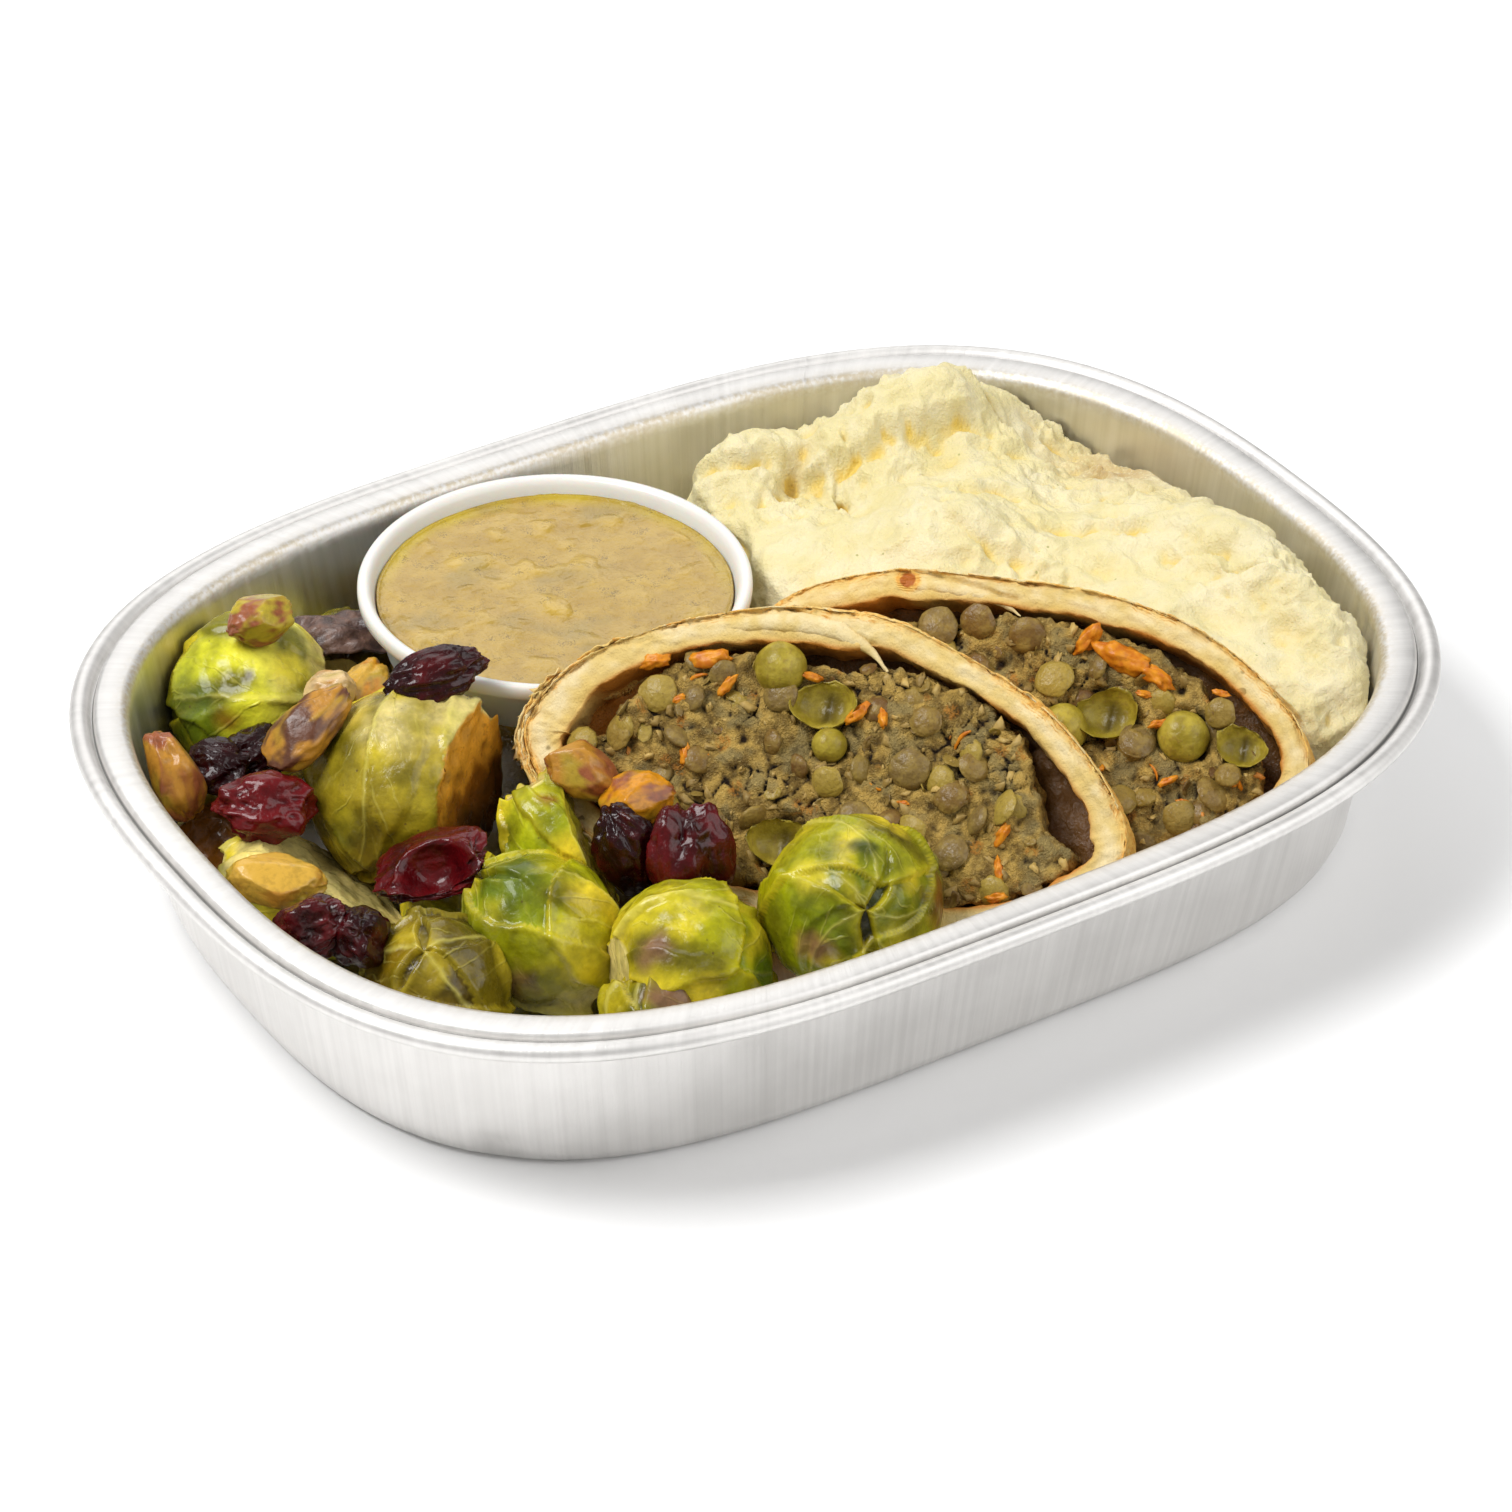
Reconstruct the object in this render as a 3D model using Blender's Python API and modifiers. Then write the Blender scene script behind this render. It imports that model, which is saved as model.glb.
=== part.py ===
"""Foil tray of lentil wellington: two leaning slices, a cup of gravy, mashed potato, sprouts, nuts and berries."""

import math

import bmesh
import bpy
import numpy as np
from mathutils import Matrix, Vector, noise

# Every length below is in millimetres, and MM turns it into Blender's metres.
MM = 0.001
GAP = 0.35

# The foil tray. A rim or base outline is a rounded rectangle: half length, half width, and a power for each.
RIM_HALF_LENGTH = 103.1
RIM_HALF_WIDTH = 78.3
RIM_POWERS = (3.36, 2.64)
BASE_HALF_LENGTH = 91.0
BASE_HALF_WIDTH = 65.3
BASE_POWERS = (3.88, 2.69)
TRAY_HEIGHT = 31.3
FOIL = 0.5
FLANGE_AND_BEAD = 8.1
TRAY_POINTS = 48

# The gravy cup, a turned tub that stands on the tray's floor.
CUP_CENTRE = (-14.5, 37.3)
CUP_RIM_RADIUS = 31.0
CUP_FOOT_RADIUS = 22.5
CUP_HEIGHT = 30.5
CUP_WALL = 1.0
CUP_STANDS_AT = FOIL + GAP
GRAVY_LEVEL = 28.4

# The two slices lean back like fallen dominoes. Each is drawn on its cut face, in (across, up the face).
SLICE_TURN = math.radians(42)
SLICE_LEAN = math.radians(46)
SLICE_THICKNESS = 14.4
SLICE_SPACING = 15.6
SLICE_FOOT = Vector((-24.0, -30.6, 12.1))
CRUST_POINTS = 46
FILLING_POINTS = 36


def rounded_outline(half_length, half_width, powers, count):
    """Evenly spaced (x, y) points round |x/a|^p + |y/b|^q = 1."""
    turn = np.linspace(0, 2 * math.pi, 1441)
    cos, sin = np.cos(turn), np.sin(turn)
    x = half_length * np.sign(cos) * np.abs(cos) ** (2 / powers[0])
    y = half_width * np.sign(sin) * np.abs(sin) ** (2 / powers[1])
    return evenly_spaced(np.stack([x, y], axis=1), count)


def evenly_spaced(curve, count):
    """The closed curve, whose last point repeats its first, read again at even steps of its length."""
    steps = np.hypot(*np.diff(curve, axis=0).T)
    along = np.concatenate([[0], np.cumsum(steps)])
    wanted = np.linspace(0, along[-1], count, endpoint=False)
    return np.stack([np.interp(wanted, along, curve[:, i]) for i in range(curve.shape[1])], axis=1)


def smooth_loop(points, count):
    """A closed Catmull-Rom curve through the points, evenly spaced. Any third column is carried along."""
    points = np.asarray(points, float)
    before, after, beyond = (np.roll(points, shift, axis=0) for shift in (1, -1, -2))
    pieces = []
    for t in np.linspace(0, 1, 24, endpoint=False):
        pieces.append(
            0.5
            * (
                2 * points
                + (after - before) * t
                + (2 * before - 5 * points + 4 * after - beyond) * t**2
                + (3 * points - before - 3 * after + beyond) * t**3
            )
        )
    curve = np.stack(pieces, axis=1).reshape(-1, points.shape[1])
    curve = np.vstack([curve, curve[:1]])
    steps = np.hypot(*np.diff(curve[:, :2], axis=0).T)
    along = np.concatenate([[0], np.cumsum(steps)])
    wanted = np.linspace(0, along[-1], count, endpoint=False)
    return np.stack([np.interp(wanted, along, curve[:, i]) for i in range(curve.shape[1])], axis=1)


def lifted(outline, height):
    return [(x, y, height) for x, y in outline]


def inward(loop):
    """Unit vectors pointing into a closed loop that runs anticlockwise."""
    along = np.roll(loop, -1, axis=0) - np.roll(loop, 1, axis=0)
    normal = np.stack([-along[:, 1], along[:, 0]], axis=1)
    return normal / np.linalg.norm(normal, axis=1, keepdims=True)


def add_ring(mesh, points):
    return [mesh.verts.new([c * MM for c in point]) for point in points]


def bridge(mesh, first, second):
    """Quads from one ring to the next, on the side where the rings' own turn and travel make the face point out."""
    count = len(first)
    for i in range(count):
        j = (i + 1) % count
        mesh.faces.new((first[i], first[j], second[j], second[i]))


def fan(mesh, ring, centre, outward):
    """Closes a ring with triangles to its centre."""
    tip = mesh.verts.new([c * MM for c in centre])
    count = len(ring)
    for i in range(count):
        j = (i + 1) % count
        corners = (ring[i], ring[j], tip) if outward else (ring[j], ring[i], tip)
        mesh.faces.new(corners)


def closed_loft(rings, first_centre, last_centre):
    """A solid from rings that run anticlockwise round their path, with a fan at each end."""
    mesh = bmesh.new()
    made = [add_ring(mesh, ring) for ring in rings]
    for first, second in zip(made, made[1:]):
        bridge(mesh, first, second)
    fan(mesh, made[0], first_centre, outward=False)
    fan(mesh, made[-1], last_centre, outward=True)
    return mesh


def finish_material(name, colour, roughness, metallic=0.0):
    material = bpy.data.materials.new(name)
    material.use_nodes = True
    shader = material.node_tree.nodes["Principled BSDF"]
    shader.inputs["Base Color"].default_value = (*colour, 1.0)
    shader.inputs["Roughness"].default_value = roughness
    shader.inputs["Metallic"].default_value = metallic
    material.diffuse_color = (*colour, 1.0)
    return material


def add_object(name, mesh, collection, material=None):
    """An object from a bmesh, whose faces are turned outwards first."""
    bmesh.ops.recalc_face_normals(mesh, faces=mesh.faces)
    data = bpy.data.meshes.new(name)
    mesh.to_mesh(data)
    mesh.free()
    data.shade_smooth()
    data.set_sharp_from_angle(angle=math.radians(40))
    if material:
        data.materials.append(material)
    thing = bpy.data.objects.new(name, data)
    collection.objects.link(thing)
    return thing


def cut(target, cutter, operation="DIFFERENCE"):
    boolean = target.modifiers.new(f"{operation.lower()} {cutter.name}", "BOOLEAN")
    boolean.operation = operation
    boolean.solver = "EXACT"
    boolean.object = cutter


def corner_boxes(thing):
    corners = np.array([vertex.co for vertex in thing.data.vertices])
    return corners.min(axis=0), corners.max(axis=0)


def boxes_meet(one, other):
    low_a, high_a = corner_boxes(one)
    low_b, high_b = corner_boxes(other)
    return bool(np.all(low_a < high_b) and np.all(low_b < high_a))


def grown_copy(thing, cutters, by=GAP):
    """A hidden copy whose skin is pushed out, so that a neighbour cut by it keeps its distance."""
    mesh = bmesh.new()
    mesh.from_mesh(thing.data)
    mesh.normal_update()
    for vertex, normal in [(v, v.normal.copy()) for v in mesh.verts]:
        vertex.co += normal * (by * MM)
    return add_cutter(thing.name + "_room", mesh, cutters)


def add_cutter(name, mesh, cutters):
    thing = add_object(name, mesh, cutters)
    thing.hide_render = True
    thing.display_type = "WIRE"
    return thing


# The tray


def tray_section():
    """Half length, half width, powers and height of each outline, from the floor's edge out to the rolled bead."""
    base, rim = np.array(BASE_POWERS), np.array(RIM_POWERS)
    wall_top = FLANGE_AND_BEAD
    steps = [
        (BASE_HALF_LENGTH - 3.6, BASE_HALF_WIDTH - 3.6, base, 0.0),
        (BASE_HALF_LENGTH - 1.0, BASE_HALF_WIDTH - 1.0, base, 0.9),
        (BASE_HALF_LENGTH, BASE_HALF_WIDTH, base, 3.4),
        (RIM_HALF_LENGTH - wall_top, RIM_HALF_WIDTH - wall_top, rim, TRAY_HEIGHT - FOIL - 0.9),
    ]
    flange_and_bead = ((7.0, 0.0), (3.0, 0.1), (2.3, -0.9), (1.3, 0.0), (FOIL, -1.0), (1.3, -2.3))
    for inset, rise in flange_and_bead:
        level = TRAY_HEIGHT - FOIL + rise
        steps.append((RIM_HALF_LENGTH - inset, RIM_HALF_WIDTH - inset, rim, level))
    return steps


def make_tray(collection, material):
    """One pressed sheet: an open surface from the middle of the floor to the bead, thickened by Solidify."""
    mesh = bmesh.new()
    rings = []
    for half_length, half_width, powers, level in tray_section():
        outline = rounded_outline(half_length, half_width, powers, TRAY_POINTS)
        rings.append(add_ring(mesh, lifted(outline, level)))
    for first, second in zip(rings, rings[1:]):
        bridge(mesh, first, second)
    fan(mesh, rings[0], (0, 0, 0), outward=False)
    bmesh.ops.recalc_face_normals(mesh, faces=mesh.faces)
    if mesh.faces[:][-1].normal.z > 0:
        bmesh.ops.reverse_faces(mesh, faces=mesh.faces)
    data = bpy.data.meshes.new("foil_tray")
    mesh.to_mesh(data)
    mesh.free()
    data.materials.append(material)
    data.shade_smooth()
    tray = bpy.data.objects.new("foil_tray", data)
    collection.objects.link(tray)
    sheet = tray.modifiers.new("foil", "SOLIDIFY")
    sheet.thickness = FOIL * MM
    sheet.offset = -1.0
    return tray


def make_tray_room(cutters):
    """The free space inside the tray, GAP clear of its floor and wall, which every food is kept to."""
    floor, foot, _, top = tray_section()[:4]
    inset = FOIL + GAP
    levels = [
        (floor[0] - inset, floor[1] - inset, floor[2], floor[3] + inset),
        (foot[0] - inset - 0.3, foot[1] - inset - 0.3, foot[2], foot[3] + inset + 0.5),
        (BASE_HALF_LENGTH - inset - 0.2, BASE_HALF_WIDTH - inset - 0.2, foot[2], 4.2),
        (top[0] - inset - 0.1, top[1] - inset - 0.1, top[2], top[3] + 0.5),
        (top[0] - inset - 0.1, top[1] - inset - 0.1, top[2], 80.0),
    ]
    rings = [
        lifted(rounded_outline(length, width, powers, TRAY_POINTS), level)
        for length, width, powers, level in levels
    ]
    mesh = closed_loft(rings, (0, 0, levels[0][3]), (0, 0, levels[-1][3]))
    return add_cutter("tray_room", mesh, cutters)


# The cup of gravy


def turned(name, profile, centre, steps, collection, material):
    """A Screw of the profile, which starts on its outer side at the top and runs down it."""
    data = bpy.data.meshes.new(name)
    points = [(radius * MM, 0, height * MM) for radius, height in profile]
    edges = [(i, i + 1) for i in range(len(points) - 1)]
    data.from_pydata(points, edges, [])
    data.materials.append(material)
    thing = bpy.data.objects.new(name, data)
    thing.location = (centre[0] * MM, centre[1] * MM, 0)
    collection.objects.link(thing)
    screw = thing.modifiers.new("turn", "SCREW")
    screw.steps = steps
    screw.render_steps = steps
    screw.use_merge_vertices = True
    screw.merge_threshold = 1e-5
    screw.use_smooth_shade = True
    return thing


def cup_radius(height):
    """Outer radius of the cup's tapered wall at a height above the table."""
    part = (height - CUP_STANDS_AT) / CUP_HEIGHT
    return CUP_FOOT_RADIUS + (CUP_RIM_RADIUS - 1.4 - CUP_FOOT_RADIUS) * part


def make_cup(collection, material):
    low, top = CUP_STANDS_AT, CUP_STANDS_AT + CUP_HEIGHT
    under_lip = top - 2.6
    profile = [
        (CUP_RIM_RADIUS - 0.9, top),
        (CUP_RIM_RADIUS, top - 0.7),
        (CUP_RIM_RADIUS - 0.2, under_lip),
        (cup_radius(under_lip), under_lip + 0.2),
        (cup_radius(low + 1.2), low + 1.2),
        (CUP_FOOT_RADIUS - 1.0, low),
        (0, low),
    ]
    inside = [
        (0, low + CUP_WALL),
        (CUP_FOOT_RADIUS - 1.6, low + CUP_WALL),
        (cup_radius(top - 1.2) - CUP_WALL - 0.7, top - 1.2),
        (CUP_RIM_RADIUS - 2.4, top),
        (CUP_RIM_RADIUS - 0.9, top),
    ]
    return turned("gravy_cup", profile + inside, CUP_CENTRE, 36, collection, material)


def make_cup_room(cutters):
    """The cup's outer shape, solid and a gap larger, which cuts the foods that press against it."""
    top = CUP_STANDS_AT + CUP_HEIGHT
    sizes = [
        (cup_radius(0.1) + GAP, 0.1),
        (cup_radius(top - 3.2) + GAP, top - 3.2),
        (CUP_RIM_RADIUS + GAP, top - 2.9),
        (CUP_RIM_RADIUS + GAP, top + GAP),
    ]
    rings = []
    for radius, level in sizes:
        angles = np.linspace(0, 2 * math.pi, 36, endpoint=False)
        rings.append(
            [(CUP_CENTRE[0] + radius * math.cos(a), CUP_CENTRE[1] + radius * math.sin(a), level) for a in angles]
        )
    mesh = closed_loft(rings, (*CUP_CENTRE, 0.1), (*CUP_CENTRE, top + GAP))
    return add_cutter("cup_room", mesh, cutters)


def make_gravy(collection, material):
    """Thick gravy that fills the cup to just under its rim, with a faintly lumpy skin."""
    foot = CUP_STANDS_AT + CUP_WALL + GAP
    reach = cup_radius(GRAVY_LEVEL) - CUP_WALL - 2.6 * GAP
    sizes = [(CUP_FOOT_RADIUS - 3.4, foot), (reach, GRAVY_LEVEL)]
    sizes += [(reach * part, GRAVY_LEVEL + 0.25) for part in (0.93, 0.66, 0.33)]
    rings = []
    for index, (radius, level) in enumerate(sizes):
        ring = []
        for a in np.linspace(0, 2 * math.pi, 30, endpoint=False):
            x, y = radius * math.cos(a), radius * math.sin(a)
            lump = 0.35 * noise.noise((x * 0.14, y * 0.14, 2.0)) if index > 1 else 0.0
            ring.append((CUP_CENTRE[0] + x, CUP_CENTRE[1] + y, level + lump))
        rings.append(ring)
    mesh = closed_loft(rings, (*CUP_CENTRE, foot), (*CUP_CENTRE, GRAVY_LEVEL + 0.3))
    return add_object("gravy", mesh, collection, material)


# The wellington slices

# Each outline runs anticlockwise on the cut face from its left end: across, up, and how thick the pastry is there.
FRONT_CRUST = [
    (-37.6, 24.0, 6.5),
    (-34.0, 15.8, 4.6),
    (-24.0, 8.0, 4.0),
    (-10.0, 2.0, 4.0),
    (8.0, 0.2, 4.0),
    (26.0, 1.2, 4.0),
    (42.0, 5.4, 4.0),
    (52.8, 12.0, 4.6),
    (56.3, 20.0, 5.0),
    (51.2, 29.4, 4.4),
    (38.9, 39.6, 4.4),
    (21.0, 46.8, 4.3),
    (9.0, 49.0, 7.0),
    (-4.5, 47.3, 5.4),
    (-20.0, 41.8, 4.6),
    (-32.0, 34.0, 5.6),
]
BACK_CRUST = [
    (-15.0, 38.0, 5.2),
    (-10.5, 29.0, 4.6),
    (2.0, 20.0, 4.0),
    (18.0, 15.6, 4.0),
    (36.0, 14.6, 4.0),
    (54.0, 17.0, 4.0),
    (69.0, 23.5, 4.2),
    (77.4, 31.0, 4.6),
    (78.6, 40.6, 4.8),
    (72.0, 49.6, 4.2),
    (58.0, 57.8, 4.2),
    (40.8, 60.9, 4.4),
    (24.1, 60.6, 4.4),
    (15.7, 60.2, 4.8),
    (5.8, 58.2, 4.6),
    (-6.0, 51.9, 4.6),
]
# How far the filling has shrunk from the pastry, as (share of the way round from the left end, width, gap).
FRONT_SHRINKS = ((0.53, 0.05, 7.0), (0.77, 0.06, 2.4), (0.95, 0.04, 6.0))
BACK_SHRINKS = ((0.56, 0.08, 3.5), (0.85, 0.07, 4.0))
PEA_RADIUS = 3.9
FRONT_PEAS = ((-1.4, 37.6), (8.0, 33.4), (4.7, 11.9), (-21.0, 27.0))
BACK_PEAS = ((47.4, 42.3), (38.0, 37.0), (58.4, 39.6), (67.4, 38.4))

ACROSS = Vector((math.sin(SLICE_TURN), -math.cos(SLICE_TURN), 0))
LEVEL_BACK = Vector((math.cos(SLICE_TURN), math.sin(SLICE_TURN), 0))
UP_FACE = LEVEL_BACK * math.sin(SLICE_LEAN) + Vector((0, 0, 1)) * math.cos(SLICE_LEAN)
INTO_SLICE = LEVEL_BACK * math.cos(SLICE_LEAN) - Vector((0, 0, 1)) * math.sin(SLICE_LEAN)


def on_slice(across, up, depth):
    """A point by its place on the front slice's cut face and its depth behind that face."""
    return SLICE_FOOT + ACROSS * across + UP_FACE * up + INTO_SLICE * depth


def flaky(index, depth, seed):
    """How far the pastry's layers stand out at a point of the outline."""
    return 0.45 * noise.noise((index * 0.9, depth * 0.35, seed)) + 0.3 * noise.noise((index * 0.31, depth * 0.1, seed))


def make_crust(name, outline, face_depth, seed, collection, material):
    """The pastry round a slice: a thick band with the filling's room through it and flaky layers outside."""
    loop = smooth_loop(outline, CRUST_POINTS)
    into = inward(loop[:, :2])
    outer, inner = loop[:, :2], loop[:, :2] + into * loop[:, 2:]
    mesh = bmesh.new()
    depths = [0.0, 0.9, 4.0, 9.0, SLICE_THICKNESS - 1.2, SLICE_THICKNESS]
    insets = [0.7, 0.1, 0.0, 0.0, 0.2, 1.0]
    rings = []
    for depth, inset in zip(depths, insets):
        ring = [
            on_slice(*(point + direction * (inset - flaky(i, depth, seed))), face_depth + depth)
            for i, (point, direction) in enumerate(zip(outer, into))
        ]
        rings.append(add_ring(mesh, ring))
    for depth in (SLICE_THICKNESS, 0.0):
        rings.append(add_ring(mesh, [on_slice(*point, face_depth + depth) for point in inner]))
    for first, second in zip(rings, rings[1:] + rings[:1]):
        bridge(mesh, first, second)
    return add_object(name, mesh, collection, material)


def filling_outline(outline, shrinks):
    """The pastry's inner edge moved in by the gap, and further where the filling has shrunk away."""
    loop = smooth_loop(outline, FILLING_POINTS)
    into = inward(loop[:, :2])
    share = np.arange(FILLING_POINTS) / FILLING_POINTS
    away = np.full(FILLING_POINTS, 0.55)
    for middle, width, gap in shrinks:
        away += gap * np.exp(-(((share - middle + 0.5) % 1 - 0.5) / width) ** 2)
    return loop[:, :2] + into * (loop[:, 2] + away)[:, None]


def make_filling(name, outline, shrinks, peas, face_depth, seed, collection, material):
    """Crumbly lentil filling right through the slice, rough on its cut face, with whole peas standing out."""
    edge = filling_outline(outline, shrinks)
    middle = edge.mean(axis=0)
    rings = [[on_slice(*point, face_depth + depth) for point in edge] for depth in (SLICE_THICKNESS - 0.5, 7.0, 1.0)]
    for share in (0.93, 0.75, 0.52, 0.27):
        ring = []
        for point in middle + (edge - middle) * share:
            crumb = 0.8 * noise.noise((point[0] * 0.22, point[1] * 0.22, seed))
            ring.append(on_slice(*point, face_depth + 0.5 - crumb))
        rings.append(ring)
    rings = [ring[::-1] for ring in rings]
    back = on_slice(*middle, face_depth + SLICE_THICKNESS - 0.5)
    mesh = closed_loft(rings, back, on_slice(*middle, face_depth + 0.5))
    filling = add_object(name, mesh, collection, material)
    for across, up in peas:
        pea = bmesh.new()
        bmesh.ops.create_uvsphere(pea, u_segments=8, v_segments=6, radius=PEA_RADIUS * MM)
        place = Matrix.Translation(on_slice(across, up, face_depth + 1.6) * MM)
        bmesh.ops.transform(pea, matrix=place, verts=pea.verts)
        join_solid(filling, pea)
    return filling


def join_solid(target, mesh):
    """Unions a bmesh with the object and keeps the result as its mesh."""
    other = add_object("joined", mesh, target.users_collection[0])
    cut(target, other, "UNION")
    graph = bpy.context.evaluated_depsgraph_get()
    merged = bpy.data.meshes.new_from_object(target.evaluated_get(graph))
    target.modifiers.clear()
    target.data = merged
    bpy.data.objects.remove(other)


def make_slice_room(name, outline, face_depth, front, cutters):
    """A slice's whole outer shape, a gap larger, for cutting what lies against it."""
    loop = smooth_loop(outline, 36)
    wide = loop[:, :2] - inward(loop[:, :2]) * (GAP + 0.75)
    ends = (face_depth + SLICE_THICKNESS + GAP, face_depth - front)
    rings = [[on_slice(*point, depth) for point in wide][::-1] for depth in ends]
    middle = wide.mean(axis=0)
    mesh = closed_loft(rings, on_slice(*middle, ends[0]), on_slice(*middle, ends[1]))
    return add_cutter(name, mesh, cutters)


# The mashed potato

# Its footprint seen from above, and the humps and hollows of its top: x, y, rise, spread along x and along y.
MASH_FOOTPRINT = [
    (19, 56),
    (31, 63),
    (47, 61),
    (63, 61),
    (79, 54),
    (87.5, 38),
    (90.5, 14),
    (90.5, -14),
    (88.5, -36),
    (80, -51),
    (62, -50),
    (44, -30),
    (26, -4),
    (15, 18),
    (17.5, 38),
]
MASH_CENTRE = (58, 14)
MASH_LEVEL = 28.5
MASH_HUMPS = [
    (60, 47, 10.5, 17, 10),
    (44, 17, 8.0, 16, 18),
    (30, 54, 4.5, 9, 8),
    (37, 40, -7.0, 5, 9),
    (80, -16, 9.0, 9, 18),
    (66, -3, 3.0, 12, 10),
    (82, 33, -2.5, 9, 12),
    (58, -24, 5.0, 12, 12),
    (50, 33, -3.5, 8, 4),
]


def mash_height(x, y):
    height = MASH_LEVEL
    for middle_x, middle_y, rise, spread_x, spread_y in MASH_HUMPS:
        height += rise * math.exp(-(((x - middle_x) / spread_x) ** 2) - ((y - middle_y) / spread_y) ** 2)
    return height + 1.3 * noise.noise((x * 0.12, y * 0.12, 5.0)) + 0.7 * noise.noise((x * 0.3, y * 0.3, 9.0))


def make_mash(collection, material):
    """A spooned heap: the footprint shrunk ring by ring to its centre, each ring lifted to the heap's top."""
    edge = smooth_loop(MASH_FOOTPRINT, 54)
    floor = FOIL + GAP
    centre = np.array(MASH_CENTRE, float)
    rings = [lifted(centre + (edge - centre) * 0.97, floor)]
    for share, part in ((1.0, 0.45), (0.985, 0.78), (0.93, 0.95), (0.85, 1.0)):
        ring = centre + (edge - centre) * share
        rings.append([(x, y, floor + part * (mash_height(x, y) - floor)) for x, y in ring])
    for share in (0.75, 0.64, 0.53, 0.42, 0.31, 0.2, 0.1):
        ring = centre + (edge - centre) * share
        rings.append([(x, y, mash_height(x, y)) for x, y in ring])
    rings = [ring[::-1] if clockwise(edge) else ring for ring in rings]
    mesh = closed_loft(rings, (*MASH_CENTRE, floor), (*MASH_CENTRE, mash_height(*MASH_CENTRE)))
    return add_object("mashed_potato", mesh, collection, material)


def clockwise(loop):
    after = np.roll(loop, -1, axis=0)
    return float(np.sum(loop[:, 0] * after[:, 1] - loop[:, 1] * after[:, 0])) < 0


# Sprouts, pistachios and cranberries

# Each sprout: name, centre, half sizes across, across and along its core, and which way its cut stem points.
SPROUTS = [
    ("sprout_front_large", (-51.6, -22.4, 14.6), (11.6, 11.0, 13.2), (0.5, -0.6, -0.6)),
    ("sprout_back_left", (-61.9, 50.4, 17.4), (14.2, 14.2, 13.8), (0.9, -0.4, 0.1)),
    ("sprout_middle_large", (-53.4, 15.6, 19.5), (15.4, 14.8, 16.6), (0.75, 0.25, 0.65)),
    ("sprout_front_right", (-13.4, -46.9, 20.0), (13.6, 13.4, 13.8), (0.3, 0.7, -0.5)),
    ("sprout_front_middle", (-37.6, -40.4, 14.6), (13.4, 11.8, 12.4), (-0.9, 0.2, 0.1)),
    ("sprout_front_left", (-70.2, -22.8, 12.0), (11.4, 11.0, 11.0), (0.3, 0.2, -0.9)),
    ("sprout_half_left", (-73.4, 8.0, 11.6), (12.0, 9.4, 16.6), (-0.8, 0.55, 0.1)),
    ("sprout_half_middle", (-39.4, -7.8, 15.4), (9.0, 9.6, 13.0), (-0.2, 0.6, 0.7)),
    ("sprout_by_cup", (-42.0, 54.6, 13.6), (9.6, 9.6, 10.6), (-0.5, -0.6, 0.3)),
    ("sprout_low_middle", (-55.6, -3.4, 9.2), (8.6, 8.4, 8.2), (0, 0, -1)),
    ("sprout_low_left", (-78.8, 27.0, 9.4), (8.6, 8.6, 8.6), (0, 0, -1)),
    ("sprout_low_front", (-46.4, -46.0, 10.4), (8.0, 9.0, 9.4), (0, -0.4, -1)),
]
# The halved sprouts: which way the cut face looks, and how far it is from the sprout's centre.
CUT_FACES = {
    "sprout_middle_large": ((0.42, -0.87, 0.12), 8.0),
    "sprout_half_left": ((0.58, -0.10, 0.76), 2.0),
    "sprout_half_middle": ((0.75, -0.35, 0.35), 3.5),
    "sprout_low_left": ((-0.2, -0.5, 0.85), 3.0),
}
# Each nut: name, centre, half sizes across, down and along, and which way its long axis points.
PISTACHIOS = [
    ("pistachio_left_wall", (-84.8, 31.4, 22.6), (4.4, 4.2, 7.4), (0.15, -0.45, -0.9)),
    ("pistachio_back", (-60.8, 47.6, 34.2), (4.6, 3.6, 5.6), (1.0, 0.2, 0.0)),
    ("pistachio_on_sprout", (-66.4, 22.6, 30.4), (4.4, 3.6, 8.2), (0.8, 0.1, 0.45)),
    ("pistachio_behind_sprout", (-50.0, 34.6, 24.6), (4.0, 3.6, 5.6), (0.7, 0.5, 0.2)),
    ("pistachio_pale", (-57.4, 32.6, 27.6), (3.6, 3.2, 5.0), (0.6, -0.3, 0.3)),
    ("pistachio_yellow", (-83.8, 0.4, 22.2), (5.2, 3.8, 7.2), (0.9, -0.5, -0.1)),
    ("pistachio_by_slice", (-33.9, -4.8, 26.8), (4.8, 3.8, 6.4), (0.7, -0.5, -0.5)),
    ("pistachio_orange", (-29.8, -12.6, 24.8), (4.4, 3.8, 5.6), (0.9, -0.3, 0.1)),
]
# Each berry: name, centre, half sizes across, down and along, and which way its long axis points.
CRANBERRIES = [
    ("cranberry_by_cup", (-46.6, 18.4, 35.8), (4.6, 3.4, 7.6), (0.9, -0.2, 0.15)),
    ("cranberry_shiny", (-76.4, 18.0, 22.4), (5.8, 4.8, 7.4), (0.9, -0.4, -0.1)),
    ("cranberry_left", (-77.0, 31.6, 21.4), (4.4, 4.0, 5.4), (0.7, -0.7, 0.0)),
    ("cranberry_dark", (-70.6, 32.0, 21.4), (4.6, 3.8, 5.4), (0.8, 0.3, 0.0)),
    ("cranberry_open", (-62.0, -7.4, 21.2), (6.8, 3.6, 8.8), (0.8, -0.5, 0.35)),
    ("cranberry_low_left", (-84.6, -12.2, 22.4), (4.8, 4.4, 5.6), (0.4, -0.6, 0.5)),
    ("cranberry_low_right", (-79.6, -15.8, 20.6), (4.8, 4.4, 5.2), (0.5, 0.3, -0.6)),
    ("cranberry_behind", (-33.8, -17.8, 19.9), (4.8, 4.8, 7.4), (-0.3, 0.4, 0.8)),
    ("cranberry_front", (-28.8, -24.8, 21.0), (6.2, 5.0, 8.0), (0.25, 0.3, 0.9)),
]


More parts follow.
